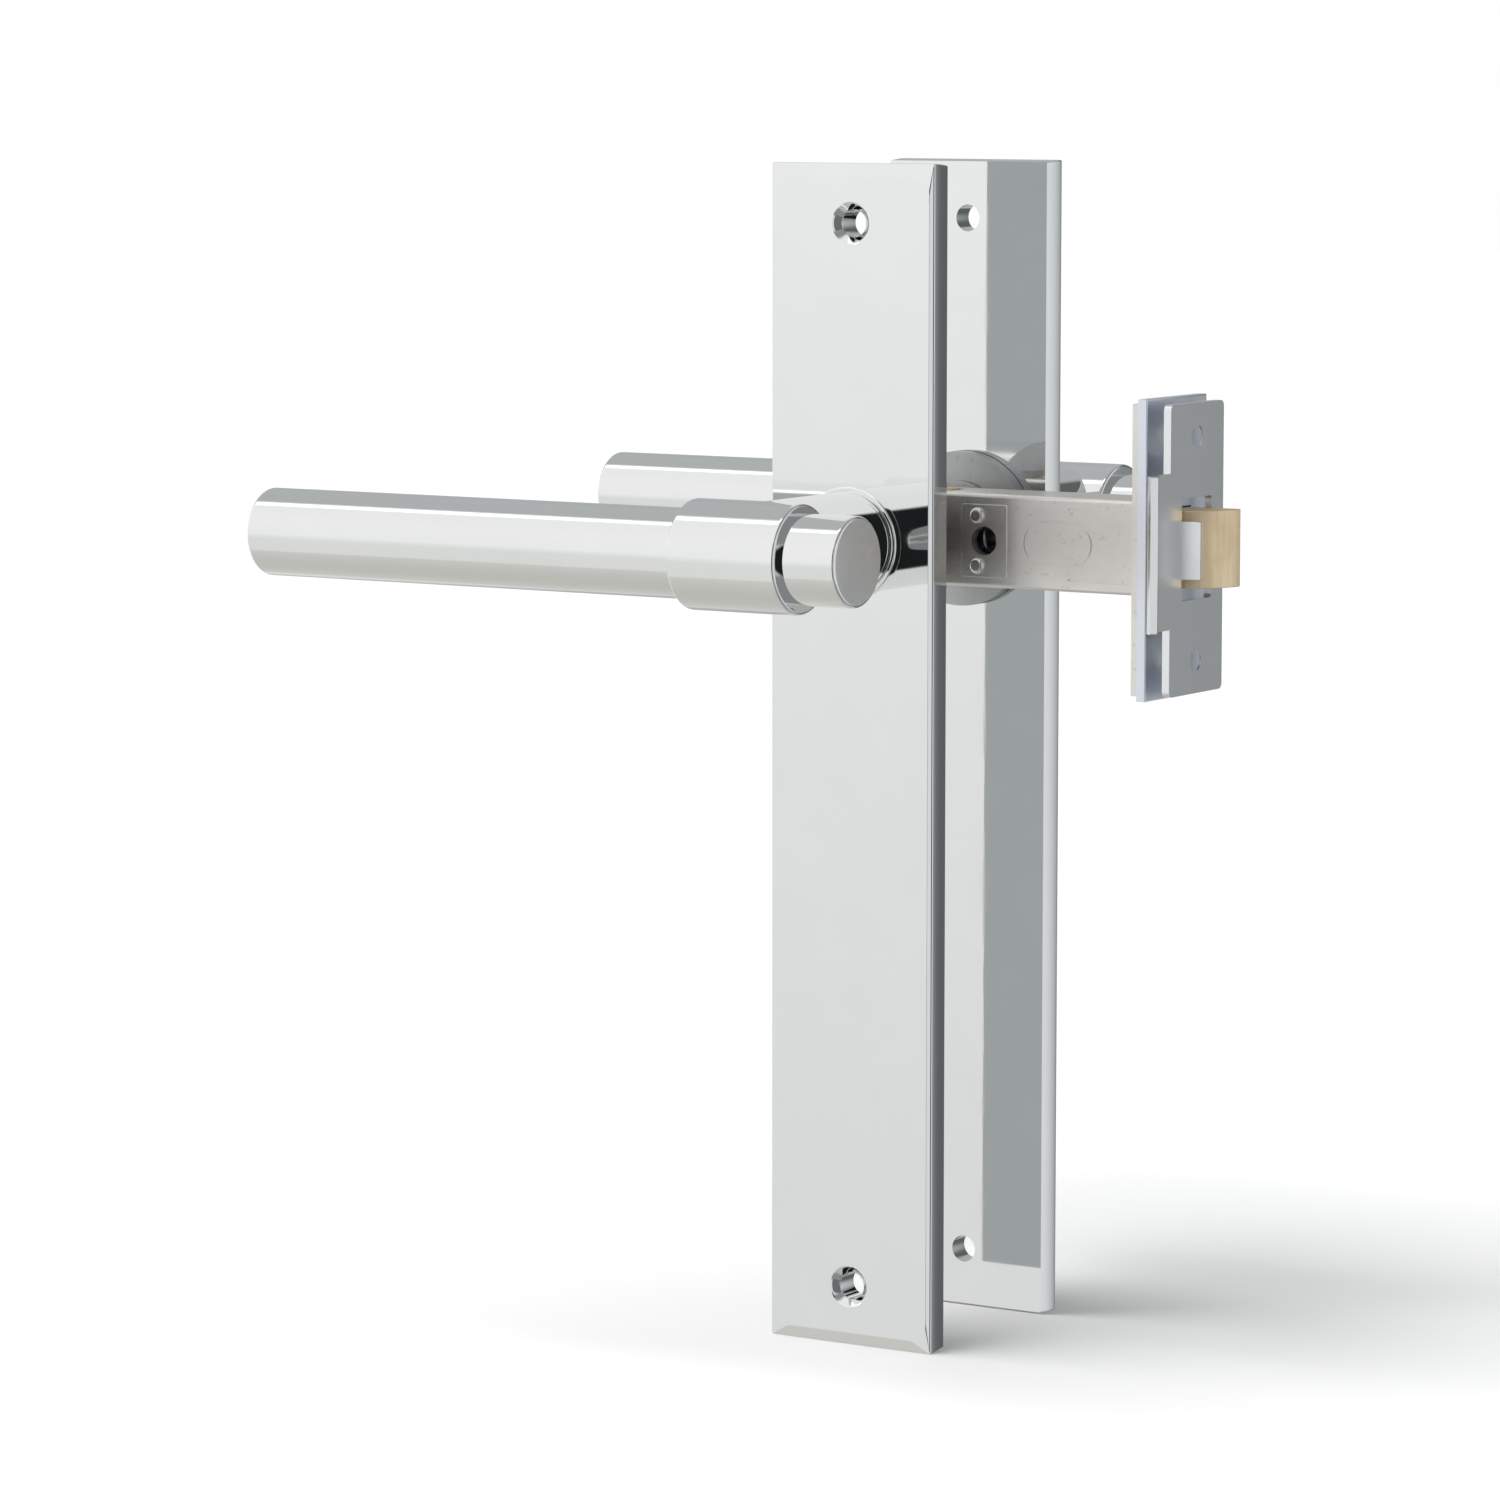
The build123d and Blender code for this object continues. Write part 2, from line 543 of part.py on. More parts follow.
HANDLE_PIECES = {
    "backplate": backplate,
    "collar_ring": collar_ring,
    "neck_bush": neck_bush,
    "lever_neck": lever_neck,
    "lever_sleeve": lever_sleeve,
    "lever_bar": lever_bar,
    "neck_screw": neck_screw,
    "grub_screw": grub_screw,
    "cassette_housing": cassette_housing,
    "cassette_driver": cassette_driver,
    "cassette_spring": cassette_spring,
    "cassette_cover": cassette_cover,
    "cassette_screws": cassette_screws,
    "thrust_washer": thrust_washer,
    "circlip": circlip,
}
for name, front_piece in HANDLE_PIECES.items():
    finish(front_piece, f"front_{name}")
    with BuildPart() as back_piece:
        mirror(front_piece.part, about=Plane.XZ)
    finish(back_piece, f"back_{name}")

with BuildPart() as spindle:
    with BuildSketch(Plane.XZ.offset(-SPINDLE_LENGTH / 2)):
        Rectangle(SPINDLE_SQUARE, SPINDLE_SQUARE)
    extrude(amount=SPINDLE_LENGTH)
    chamfer(spindle.faces().filter_by(Axis.Y).edges(), SPINDLE_CHAMFER)
finish(spindle, "spindle")

# ===== latch ============================================================================

CASE_MIDDLE_X = (CASE_FRONT - CASE_REAR) / 2
CASE_LENGTH = CASE_FRONT + CASE_REAR
FRONT_WALL_Y = -CASE_THICKNESS / 2
SLOT_FRONT_X = ARM_REACH * sin(radians(ARM_LEAN)) + 2.4
SLOT_REAR_X = TAB_FACE_X - 2 * TAB_THICKNESS - BOLT_TRAVEL - 0.5
SLOT_HALF_WIDTH = 2.9
RAIL_PRESS_LENGTH = 17.0
RAIL_PRESS_Z = CASE_HEIGHT / 2 - 2.4
PRESS_DEPTH = 0.25
OVAL_X = 37.0
OVAL_LENGTH = 16.0
OVAL_WIDTH = 9.0
PRESS_LINE = 0.5
OVAL_INNER_LENGTH = OVAL_LENGTH - 2 * PRESS_LINE
OVAL_INNER_WIDTH = OVAL_WIDTH - 2 * PRESS_LINE
CASE_CORNER = 0.8
CASE_REAR_CORNER = 0.6


def facing_side(y):
    """Plane parallel to the door at y, looking along -Y, with its own y along +Z."""
    return Plane(origin=(0, y, 0), x_dir=(1, 0, 0), z_dir=(0, -1, 0))


def latch_side_holes(wall_y, depth):
    """Cut the hub hole, the pad's hole and the rivet holes through one wide wall of the case."""
    with BuildSketch(facing_side(wall_y), mode=Mode.PRIVATE) as holes:
        Circle(HUB_HOLE_RADIUS)
        with Locations((PAD_X, 0)):
            Circle(PAD_HOLE_RADIUS)
        with Locations((PAD_RIVET_X, PAD_RIVET_Z), (PAD_RIVET_X, -PAD_RIVET_Z)):
            Circle(PAD_RIVET_SHANK)
        with Locations((REAR_RIVET_X, 0)):
            Circle(REAR_RIVET_SHANK)
    return extrude(holes.sketch, amount=depth, mode=Mode.PRIVATE)


def pad(wall_y, outward):
    """Square pad pressed slightly proud of one wide wall, around the pad's hole."""
    with BuildSketch(facing_side(wall_y), mode=Mode.PRIVATE) as shape:
        with Locations((PAD_X, 0)):
            RectangleRounded(PAD_LENGTH, PAD_HEIGHT, PAD_CORNER)
    return extrude(shape.sketch, amount=outward * PAD_PROUD, mode=Mode.PRIVATE)


# The case is folded from one sheet: one wide wall, both narrow walls and the rear wall.
with BuildPart() as latch_case:
    with BuildSketch(facing_edge(-CASE_REAR)):
        Rectangle(CASE_THICKNESS, CASE_HEIGHT)
    extrude(amount=CASE_LENGTH)
    fillet(latch_case.edges().filter_by(Axis.X), CASE_CORNER)
    fillet(latch_case.faces().sort_by(Axis.X)[0].edges(), CASE_REAR_CORNER)
    with BuildSketch(facing_edge(-CASE_REAR + CASE_WALL)):
        Rectangle(CASE_THICKNESS - 2 * CASE_WALL, CASE_HEIGHT - 2 * CASE_WALL)
    extrude(amount=CASE_LENGTH, mode=Mode.SUBTRACT)
    # room for the cover plate, let in between the narrow walls
    with BuildSketch(facing_edge(-CASE_REAR + CASE_WALL)):
        with Locations((CASE_THICKNESS / 2, 0)):
            Rectangle(2 * CASE_WALL, CASE_HEIGHT - 2 * CASE_WALL)
    extrude(amount=CASE_LENGTH, mode=Mode.SUBTRACT)
    add(pad(FRONT_WALL_Y, 1))
    add(latch_side_holes(FRONT_WALL_Y + CASE_WALL + 0.1, 3 * CASE_WALL), mode=Mode.SUBTRACT)
    # long slots in both narrow walls for the carriage tabs and the hub's arms
    with BuildSketch(Plane.XY.offset(-CASE_HEIGHT)):
        with Locations(((SLOT_FRONT_X + SLOT_REAR_X) / 2, 0)):
            Rectangle(SLOT_FRONT_X - SLOT_REAR_X, 2 * SLOT_HALF_WIDTH)
    extrude(amount=2 * CASE_HEIGHT, mode=Mode.SUBTRACT)
    # shallow press marks: two lines behind the forend and an oval
    with BuildSketch(facing_side(FRONT_WALL_Y)):
        with Locations((FOREND_X - RAIL_PRESS_LENGTH / 2, 0)):
            with GridLocations(0, 2 * RAIL_PRESS_Z, 1, 2):
                Rectangle(RAIL_PRESS_LENGTH, PRESS_LINE)
        with Locations((OVAL_X, 0)):
            SlotOverall(OVAL_LENGTH, OVAL_WIDTH)
            SlotOverall(OVAL_INNER_LENGTH, OVAL_INNER_WIDTH, mode=Mode.SUBTRACT)
    extrude(amount=-PRESS_DEPTH, mode=Mode.SUBTRACT)
finish(latch_case, "latch_case")

COVER_GAP = 0.05
COVER_LENGTH = CASE_LENGTH - CASE_WALL - 2 * COVER_GAP
COVER_HEIGHT = CASE_HEIGHT - 2 * CASE_WALL - 2 * COVER_GAP
with BuildPart() as case_cover:
    with BuildSketch(facing_side(CASE_THICKNESS / 2)):
        with Locations(((CASE_FRONT + CASE_WALL - CASE_REAR) / 2, 0)):
            Rectangle(COVER_LENGTH, COVER_HEIGHT)
    extrude(amount=CASE_WALL)
    add(pad(CASE_THICKNESS / 2, -1))
    add(latch_side_holes(CASE_THICKNESS / 2 + 1, 3 * CASE_WALL), mode=Mode.SUBTRACT)
finish(case_cover, "case_cover")

# Brass hub: a drum with an eight-pointed hole, so that the square spindle fits in eight
# positions, and two arms whose round tips push the carriage.
with BuildPart() as latch_hub:
    with BuildSketch(facing_side(HUB_HALF_LENGTH)):
        Circle(HUB_RADIUS)
    extrude(amount=2 * HUB_HALF_LENGTH)
    chamfer(latch_hub.edges().filter_by(GeomType.CIRCLE), HUB_CHAMFER)
    with BuildSketch(facing_side(ARM_THICKNESS / 2)):
        for side in (1, -1):
            lean = side * (90 - ARM_LEAN)
            tip = (ARM_REACH * cos(radians(lean)), ARM_REACH * sin(radians(lean)))
            with Locations((tip[0] / 2, tip[1] / 2)):
                Rectangle(ARM_REACH, 2 * ARM_HALF_WIDTH, rotation=lean)
            with Locations(tip):
                Circle(ARM_HALF_WIDTH)
    extrude(amount=ARM_THICKNESS)
    with BuildSketch(facing_side(HUB_HALF_LENGTH)):
        for turn in (0, 45):
            Rectangle(STAR_SQUARE, STAR_SQUARE, rotation=turn)
    extrude(amount=2 * HUB_HALF_LENGTH, mode=Mode.SUBTRACT)
finish(latch_hub, "latch_hub")

# Carriage: a cross plate and tube that carry the bolt, and a pair of rails above and
# below the hub, each pair joined at its rear end by a tab that a hub arm pushes.
RAIL_WIDTH = RAIL_OUTER_Y - RAIL_INNER_Y
RAIL_MIDDLE_Y = (RAIL_OUTER_Y + RAIL_INNER_Y) / 2
RAIL_MIDDLE_Z = (RAIL_OUTER_Z + RAIL_INNER_Z) / 2
TAB_REAR_X = TAB_FACE_X - TAB_THICKNESS
TAB_HALF_WIDTH = 2.4
with BuildPart() as latch_carriage:
    with BuildSketch(facing_edge(CARRIAGE_PLATE_X)):
        Rectangle(2 * RAIL_OUTER_Y, 2 * RAIL_OUTER_Z)
    extrude(amount=CARRIAGE_PLATE_THICKNESS)
    with BuildSketch(facing_edge(TAB_REAR_X)):
        with GridLocations(2 * RAIL_MIDDLE_Y, 2 * RAIL_MIDDLE_Z, 2, 2):
            Rectangle(RAIL_WIDTH, RAIL_OUTER_Z - RAIL_INNER_Z)
    extrude(amount=CARRIAGE_PLATE_X - TAB_REAR_X)
    # cross bars at the rails' rear ends, behind the hub's arms, and the tabs on them
    with BuildSketch(facing_edge(TAB_REAR_X - TAB_THICKNESS)):
        with GridLocations(0, 2 * RAIL_MIDDLE_Z, 1, 2):
            Rectangle(2 * RAIL_OUTER_Y, RAIL_OUTER_Z - RAIL_INNER_Z)
    extrude(amount=TAB_THICKNESS)
    with BuildSketch(facing_edge(TAB_REAR_X - TAB_THICKNESS)):
        for side in (1, -1):
            with Locations((0, side * (RAIL_INNER_Z + TAB_OUTER_Z) / 2)):
                Rectangle(2 * TAB_HALF_WIDTH, TAB_OUTER_Z - RAIL_INNER_Z)
    extrude(amount=TAB_THICKNESS)
    with BuildSketch(facing_edge(TAB_REAR_X)):
        for side in (1, -1):
            with Locations((0, side * (TAB_INNER_Z + TAB_OUTER_Z) / 2)):
                Rectangle(2 * TAB_HALF_WIDTH, TAB_OUTER_Z - TAB_INNER_Z)
    extrude(amount=TAB_THICKNESS)
    with BuildSketch(facing_edge(CARRIAGE_PLATE_X)):
        Circle(CARRIAGE_TUBE_RADIUS)
    extrude(amount=BOLT_REAR + TUBE_IN_BOLT - CARRIAGE_PLATE_X)
    with BuildSketch(facing_edge(CARRIAGE_PLATE_X)):
        Circle(CARRIAGE_BORE_RADIUS)
    extrude(amount=CARRIAGE_BORE_END_X - CARRIAGE_PLATE_X, mode=Mode.SUBTRACT)
    with BuildSketch(Plane.XY.offset(-BOLT_HEIGHT)):
        with Locations((BOLT_PIN_X, 0)):
            Circle(BOLT_PIN_RADIUS)
    extrude(amount=2 * BOLT_HEIGHT, mode=Mode.SUBTRACT)
finish(latch_carriage, "latch_carriage")

# Brass bolt: flat on the +Y side, rounded down to its tip on the -Y side.
BOLT_TIP_X = BACKSET + BOLT_PROJECTION
BEVEL_CENTRE_X = BOLT_TIP_X - BOLT_BEVEL_RADIUS
BEVEL_CENTRE_Y = BOLT_BEVEL_RADIUS - BOLT_THICKNESS / 2
DIAGONAL = sqrt(0.5)
with BuildPart() as latch_bolt:
    with BuildSketch(Plane.XY.offset(-BOLT_HEIGHT / 2)):
        with BuildLine():
            Line((BOLT_REAR, BOLT_THICKNESS / 2), (BOLT_REAR, -BOLT_THICKNESS / 2))
            Line((BOLT_REAR, -BOLT_THICKNESS / 2), (BEVEL_CENTRE_X, -BOLT_THICKNESS / 2))
            ThreePointArc(
                (BEVEL_CENTRE_X, -BOLT_THICKNESS / 2),
                (
                    BEVEL_CENTRE_X + BOLT_BEVEL_RADIUS * DIAGONAL,
                    BEVEL_CENTRE_Y - BOLT_BEVEL_RADIUS * DIAGONAL,
                ),
                (BOLT_TIP_X, BEVEL_CENTRE_Y),
            )
            Line((BOLT_TIP_X, BEVEL_CENTRE_Y), (BOLT_TIP_X, BOLT_THICKNESS / 2))
            Line((BOLT_TIP_X, BOLT_THICKNESS / 2), (BOLT_REAR, BOLT_THICKNESS / 2))
        make_face()
    extrude(amount=BOLT_HEIGHT)
    with BuildSketch(facing_edge(BOLT_REAR)):
        Circle(CARRIAGE_TUBE_RADIUS)
    extrude(amount=TUBE_IN_BOLT, mode=Mode.SUBTRACT)
    with BuildSketch(Plane.XY.offset(-BOLT_HEIGHT)):
        with Locations((BOLT_PIN_X, 0)):
            Circle(BOLT_PIN_RADIUS)
    extrude(amount=2 * BOLT_HEIGHT, mode=Mode.SUBTRACT)
finish(latch_bolt, "latch_bolt")

with BuildPart() as bolt_pin:
    with BuildSketch(Plane.XY.offset(-BOLT_PIN_LENGTH / 2)):
        with Locations((BOLT_PIN_X, 0)):
            Circle(BOLT_PIN_RADIUS)
    extrude(amount=BOLT_PIN_LENGTH)
finish(bolt_pin, "bolt_pin")

# U-shaped spring bracket, riveted to both wide walls behind the pads.
with BuildPart() as spring_bracket:
    with BuildSketch(facing_edge(BRACKET_X)):
        Rectangle(2 * CASE_INNER_Y, 2 * BRACKET_HALF_HEIGHT)
    extrude(amount=BRACKET_FOOT_END_X - BRACKET_X)
    with BuildSketch(facing_edge(BRACKET_X + BRACKET_WEB)):
        Rectangle(2 * (CASE_INNER_Y - BRACKET_FOOT), 2 * BRACKET_HALF_HEIGHT + 1)
    extrude(amount=BRACKET_FOOT_END_X, mode=Mode.SUBTRACT)
    with BuildSketch(facing_edge(BRACKET_X)):
        Circle(ROD_RADIUS)
    extrude(amount=BRACKET_WEB, mode=Mode.SUBTRACT)
    with BuildSketch(facing_side(CASE_THICKNESS / 2)):
        with Locations((PAD_X, 0)):
            Circle(PAD_HOLE_RADIUS)
        with Locations((PAD_RIVET_X, PAD_RIVET_Z), (PAD_RIVET_X, -PAD_RIVET_Z)):
            Circle(PAD_RIVET_SHANK)
    extrude(amount=CASE_THICKNESS, mode=Mode.SUBTRACT)
finish(spring_bracket, "spring_bracket")

with BuildPart() as guide_rod:
    with BuildSketch(facing_edge(BRACKET_X)):
        Circle(ROD_RADIUS)
    extrude(amount=ROD_END_X - BRACKET_X)
    chamfer(guide_rod.edges().filter_by(GeomType.CIRCLE).sort_by(Axis.X)[-1], ROD_CHAMFER)
finish(guide_rod, "guide_rod")

SPRING_START_X = BRACKET_X + BRACKET_WEB + BOLT_SPRING_WIRE
SPRING_END_X = CARRIAGE_PLATE_X - BOLT_SPRING_WIRE
with BuildPart() as bolt_spring:
    with BuildLine() as bolt_coil:
        Helix(
            pitch=(SPRING_END_X - SPRING_START_X) / BOLT_SPRING_TURNS,
            height=SPRING_END_X - SPRING_START_X,
            radius=BOLT_SPRING_RADIUS,
            center=(SPRING_START_X, 0, 0),
            direction=(1, 0, 0),
        )
    with BuildSketch(Plane(origin=bolt_coil.line @ 0, z_dir=bolt_coil.line % 0)):
        Circle(BOLT_SPRING_WIRE)
    sweep()
finish(bolt_spring, "bolt_spring")

PAD_FACE_Y = CASE_THICKNESS / 2 + PAD_PROUD
FOOT_INNER_Y = CASE_INNER_Y - BRACKET_FOOT


def outward_plane(face_y, side):
    """Plane on one wide face of the case, looking outwards; side is -1 front and 1 back."""
    return Plane(origin=(0, side * face_y, 0), x_dir=(1, 0, 0), z_dir=(0, side, 0))


with BuildPart() as pad_rivets:
    for side in (-1, 1):
        with BuildSketch(outward_plane(PAD_FACE_Y, side)):
            with Locations((PAD_RIVET_X, PAD_RIVET_Z), (PAD_RIVET_X, -PAD_RIVET_Z)):
                Circle(PAD_RIVET_HEAD)
        extrude(amount=RIVET_DOME)
        with BuildSketch(outward_plane(FOOT_INNER_Y, side)):
            with Locations((PAD_RIVET_X, PAD_RIVET_Z), (PAD_RIVET_X, -PAD_RIVET_Z)):
                Circle(PAD_RIVET_SHANK)
        extrude(amount=PAD_FACE_Y - FOOT_INNER_Y)
    for group in (0, -1):
        rims = pad_rivets.edges().filter_by(GeomType.CIRCLE).group_by(Axis.Y)[group]
        fillet(rims, RIVET_CROWN)
finish(pad_rivets, "pad_rivets")

with BuildPart() as rear_rivet:
    with BuildSketch(facing_side(CASE_THICKNESS / 2)):
        with Locations((REAR_RIVET_X, 0)):
            Circle(REAR_RIVET_SHANK)
    extrude(amount=CASE_THICKNESS)
    for side in (-1, 1):
        with BuildSketch(outward_plane(CASE_THICKNESS / 2, side)):
            with Locations((REAR_RIVET_X, 0)):
                Circle(REAR_RIVET_HEAD)
        extrude(amount=RIVET_DOME)
    for group in (0, -1):
        rims = rear_rivet.edges().filter_by(GeomType.CIRCLE).group_by(Axis.Y)[group]
        fillet(rims, RIVET_CROWN)
finish(rear_rivet, "rear_rivet")


def edge_plate_outline(width, length, opening_width, opening_height, opening_corner):
    """Outline of a plate on the door's edge, with one opening and two screw slots."""
    with BuildSketch(mode=Mode.PRIVATE) as outline:
        Rectangle(width, length)
        RectangleRounded(opening_width, opening_height, opening_corner, mode=Mode.SUBTRACT)
        with GridLocations(0, FACEPLATE_SCREW_SPACING, 1, 2):
            SlotOverall(
                FACEPLATE_SLOT_LENGTH,
                FACEPLATE_SLOT_WIDTH,
                rotation=90,
                mode=Mode.SUBTRACT,
            )
    return outline.sketch


# The case's front end is pressed into the forend, which the faceplate covers.
with BuildPart() as latch_forend:
    with BuildSketch(facing_edge(FOREND_X)):
        add(
            edge_plate_outline(
                FOREND_WIDTH, FOREND_LENGTH, CASE_THICKNESS, CASE_HEIGHT, CASE_CORNER
            )
        )
    extrude(amount=FOREND_THICKNESS)
finish(latch_forend, "latch_forend")

BOLT_OPENING_WIDTH = BOLT_THICKNESS + 2 * BOLT_OPENING_GAP
BOLT_OPENING_HEIGHT = BOLT_HEIGHT + 2 * BOLT_OPENING_GAP
BOLT_OPENING_CORNER = 0.2
with BuildPart() as faceplate:
    with BuildSketch(facing_edge(CASE_FRONT)):
        add(
            edge_plate_outline(
                FACEPLATE_WIDTH,
                FACEPLATE_LENGTH,
                BOLT_OPENING_WIDTH,
                BOLT_OPENING_HEIGHT,
                BOLT_OPENING_CORNER,
            )
        )
    extrude(amount=FACEPLATE_THICKNESS)
    chamfer(faceplate.faces().sort_by(Axis.X)[-1].outer_wire().edges(), FACEPLATE_CHAMFER)
finish(faceplate, "faceplate")

# ===== strike ===========================================================================

STRIKE_BACK_X = STRIKE_X + STRIKE_THICKNESS
LIP_ROOT_Y = 1 - STRIKE_WIDTH / 2
LIP_BEND_Y = -STRIKE_WIDTH / 2 - STRIKE_LIP_FLAT
LIP_TURN = radians(STRIKE_LIP_TURN)
LIP_OUTER_RADIUS = STRIKE_LIP_RADIUS + STRIKE_THICKNESS
LIP_CENTRE_X = STRIKE_X + LIP_OUTER_RADIUS


def lip_point(radius, angle):
    """Point of the rolled lip's section at an angle from where the bend starts."""
    return (LIP_CENTRE_X - radius * cos(angle), LIP_BEND_Y - radius * sin(angle))


with BuildPart() as strike:
    with BuildSketch(facing_edge(STRIKE_X)):
        RectangleRounded(STRIKE_WIDTH, STRIKE_LENGTH, STRIKE_CORNER)
    extrude(amount=STRIKE_THICKNESS)
    # the lip: a flat run, then rolled back towards the jamb
    with BuildSketch(Plane.XY.offset(-STRIKE_LIP_HEIGHT / 2)):
        with BuildLine():
            Line((STRIKE_X, LIP_ROOT_Y), (STRIKE_X, LIP_BEND_Y))
            ThreePointArc(
                (STRIKE_X, LIP_BEND_Y),
                lip_point(LIP_OUTER_RADIUS, LIP_TURN / 2),
                lip_point(LIP_OUTER_RADIUS, LIP_TURN),
            )
            Line(lip_point(LIP_OUTER_RADIUS, LIP_TURN), lip_point(STRIKE_LIP_RADIUS, LIP_TURN))
            ThreePointArc(
                lip_point(STRIKE_LIP_RADIUS, LIP_TURN),
                lip_point(STRIKE_LIP_RADIUS, LIP_TURN / 2),
                (STRIKE_BACK_X, LIP_BEND_Y),
            )
            Line((STRIKE_BACK_X, LIP_BEND_Y), (STRIKE_BACK_X, LIP_ROOT_Y))
            Line((STRIKE_BACK_X, LIP_ROOT_Y), (STRIKE_X, LIP_ROOT_Y))
        make_face()
    extrude(amount=STRIKE_LIP_HEIGHT)
    lip_end_edges = strike.faces().sort_by(Axis.Y)[0].edges().sort_by(Axis.Z)
    fillet([lip_end_edges[0], lip_end_edges[-1]], STRIKE_LIP_CORNER)
    with BuildSketch(facing_edge(STRIKE_X)):
        RectangleRounded(STRIKE_OPENING_WIDTH, STRIKE_OPENING_HEIGHT, STRIKE_OPENING_CORNER)
    extrude(amount=STRIKE_THICKNESS, mode=Mode.SUBTRACT)
    with Locations(Plane(origin=(STRIKE_X, 0, 0), x_dir=(0, 0, 1), z_dir=(-1, 0, 0))):
        with GridLocations(STRIKE_SCREW_SPACING, 0, 2, 1):
            CounterSinkHole(
                STRIKE_HOLE_RADIUS,
                STRIKE_SINK_RADIUS,
                counter_sink_angle=STRIKE_SINK_ANGLE,
            )
    # adjusting tab: cut free at the opening's lip side and bent back into the jamb
    tab_root = Plane(
        origin=(STRIKE_X + STRIKE_TAB_INSET, -STRIKE_OPENING_WIDTH / 2 - STRIKE_TAB_INSET, 0),
        x_dir=(0, 0, 1),
        z_dir=(cos(radians(STRIKE_TAB_LEAN)), sin(radians(STRIKE_TAB_LEAN)), 0),
    )
    with BuildSketch(tab_root):
        Rectangle(STRIKE_TAB_HEIGHT, STRIKE_TAB_THICKNESS)
    extrude(amount=STRIKE_TAB_LENGTH + STRIKE_THICKNESS)
finish(strike, "strike")
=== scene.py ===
"""Looks of a lever handle set: two chromed handles, a tubular latch and its strike.

Shapes are worked out in millimetres in the frame's own axes and scaled to metres when a
piece is finished. The levers point to -X, the latch reaches the door's edge at +X, and
the front handle is on the -Y side.
"""

import json
import logging
import math
from dataclasses import dataclass, field
from enum import Enum
from typing import Any, Callable, Iterable, Sequence

import bmesh
import bpy
from mathutils import Matrix, Vector

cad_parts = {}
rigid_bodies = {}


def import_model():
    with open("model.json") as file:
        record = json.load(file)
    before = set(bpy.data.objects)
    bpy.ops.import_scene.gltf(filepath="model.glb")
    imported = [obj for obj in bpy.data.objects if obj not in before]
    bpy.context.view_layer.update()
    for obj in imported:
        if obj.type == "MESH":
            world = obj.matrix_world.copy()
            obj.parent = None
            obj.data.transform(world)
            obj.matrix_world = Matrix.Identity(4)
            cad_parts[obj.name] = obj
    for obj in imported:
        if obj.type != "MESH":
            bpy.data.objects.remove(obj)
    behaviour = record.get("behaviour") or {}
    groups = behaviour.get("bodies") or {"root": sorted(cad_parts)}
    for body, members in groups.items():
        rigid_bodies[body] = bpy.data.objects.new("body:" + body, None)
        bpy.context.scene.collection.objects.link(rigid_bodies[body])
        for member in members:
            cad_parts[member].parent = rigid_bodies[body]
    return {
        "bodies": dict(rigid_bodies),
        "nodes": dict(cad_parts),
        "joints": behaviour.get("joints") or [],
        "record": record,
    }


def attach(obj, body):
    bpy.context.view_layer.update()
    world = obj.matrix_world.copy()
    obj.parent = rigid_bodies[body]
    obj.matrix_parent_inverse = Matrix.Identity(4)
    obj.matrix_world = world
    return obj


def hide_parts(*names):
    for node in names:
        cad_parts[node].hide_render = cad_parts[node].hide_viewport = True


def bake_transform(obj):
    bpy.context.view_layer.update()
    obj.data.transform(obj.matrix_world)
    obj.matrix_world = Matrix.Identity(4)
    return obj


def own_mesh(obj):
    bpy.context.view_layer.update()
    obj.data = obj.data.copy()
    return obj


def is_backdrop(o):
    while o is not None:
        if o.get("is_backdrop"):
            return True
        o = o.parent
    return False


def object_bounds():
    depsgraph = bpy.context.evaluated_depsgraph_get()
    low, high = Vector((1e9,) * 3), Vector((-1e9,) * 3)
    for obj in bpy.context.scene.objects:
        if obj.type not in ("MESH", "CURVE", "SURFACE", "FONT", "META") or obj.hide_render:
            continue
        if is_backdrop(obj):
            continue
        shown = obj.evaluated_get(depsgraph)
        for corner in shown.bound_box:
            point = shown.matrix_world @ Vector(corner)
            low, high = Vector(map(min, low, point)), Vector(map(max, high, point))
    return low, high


log = logging.getLogger("handle_set")

MILLIMETRE = 0.001
FINE = 128  # steps round a large turned piece
MEDIUM = 64  # steps round a small turned piece
WIRE_SIDES = 12
CREASE = math.radians(32)  # edges sharper than this stay crisp
REACH = 1.0  # how far a cutter runs past the face that it cuts
CORNER_STEPS = 8  # steps round a corner of the plate's outline
BORDER_STEPS = 16  # rings across the plate's rolled border
EDGE_STEPS = 4  # rings round the plate's edge
SIDE_STEPS = 7  # rings down the plate's sides
DRAFT_CURVE = 1.6  # how the sides' draft grows with depth
LIP_STEPS = 18  # steps round the strike's lip
COIL_STEP = 9.0  # degrees of coil in one step
NEAR = 1e-3  # how close counts as the same place
END_BLEND = 0.00004  # metres over which a faced end turns satin
MIX_FACTOR, MIX_A, MIX_B, MIX_COLOUR = 0, 6, 7, 2  # a colour Mix node's sockets

Colour = tuple[float, float, float]
Point = tuple[float, float, float]


# ---- shader maths -------------------------------------------------------------------


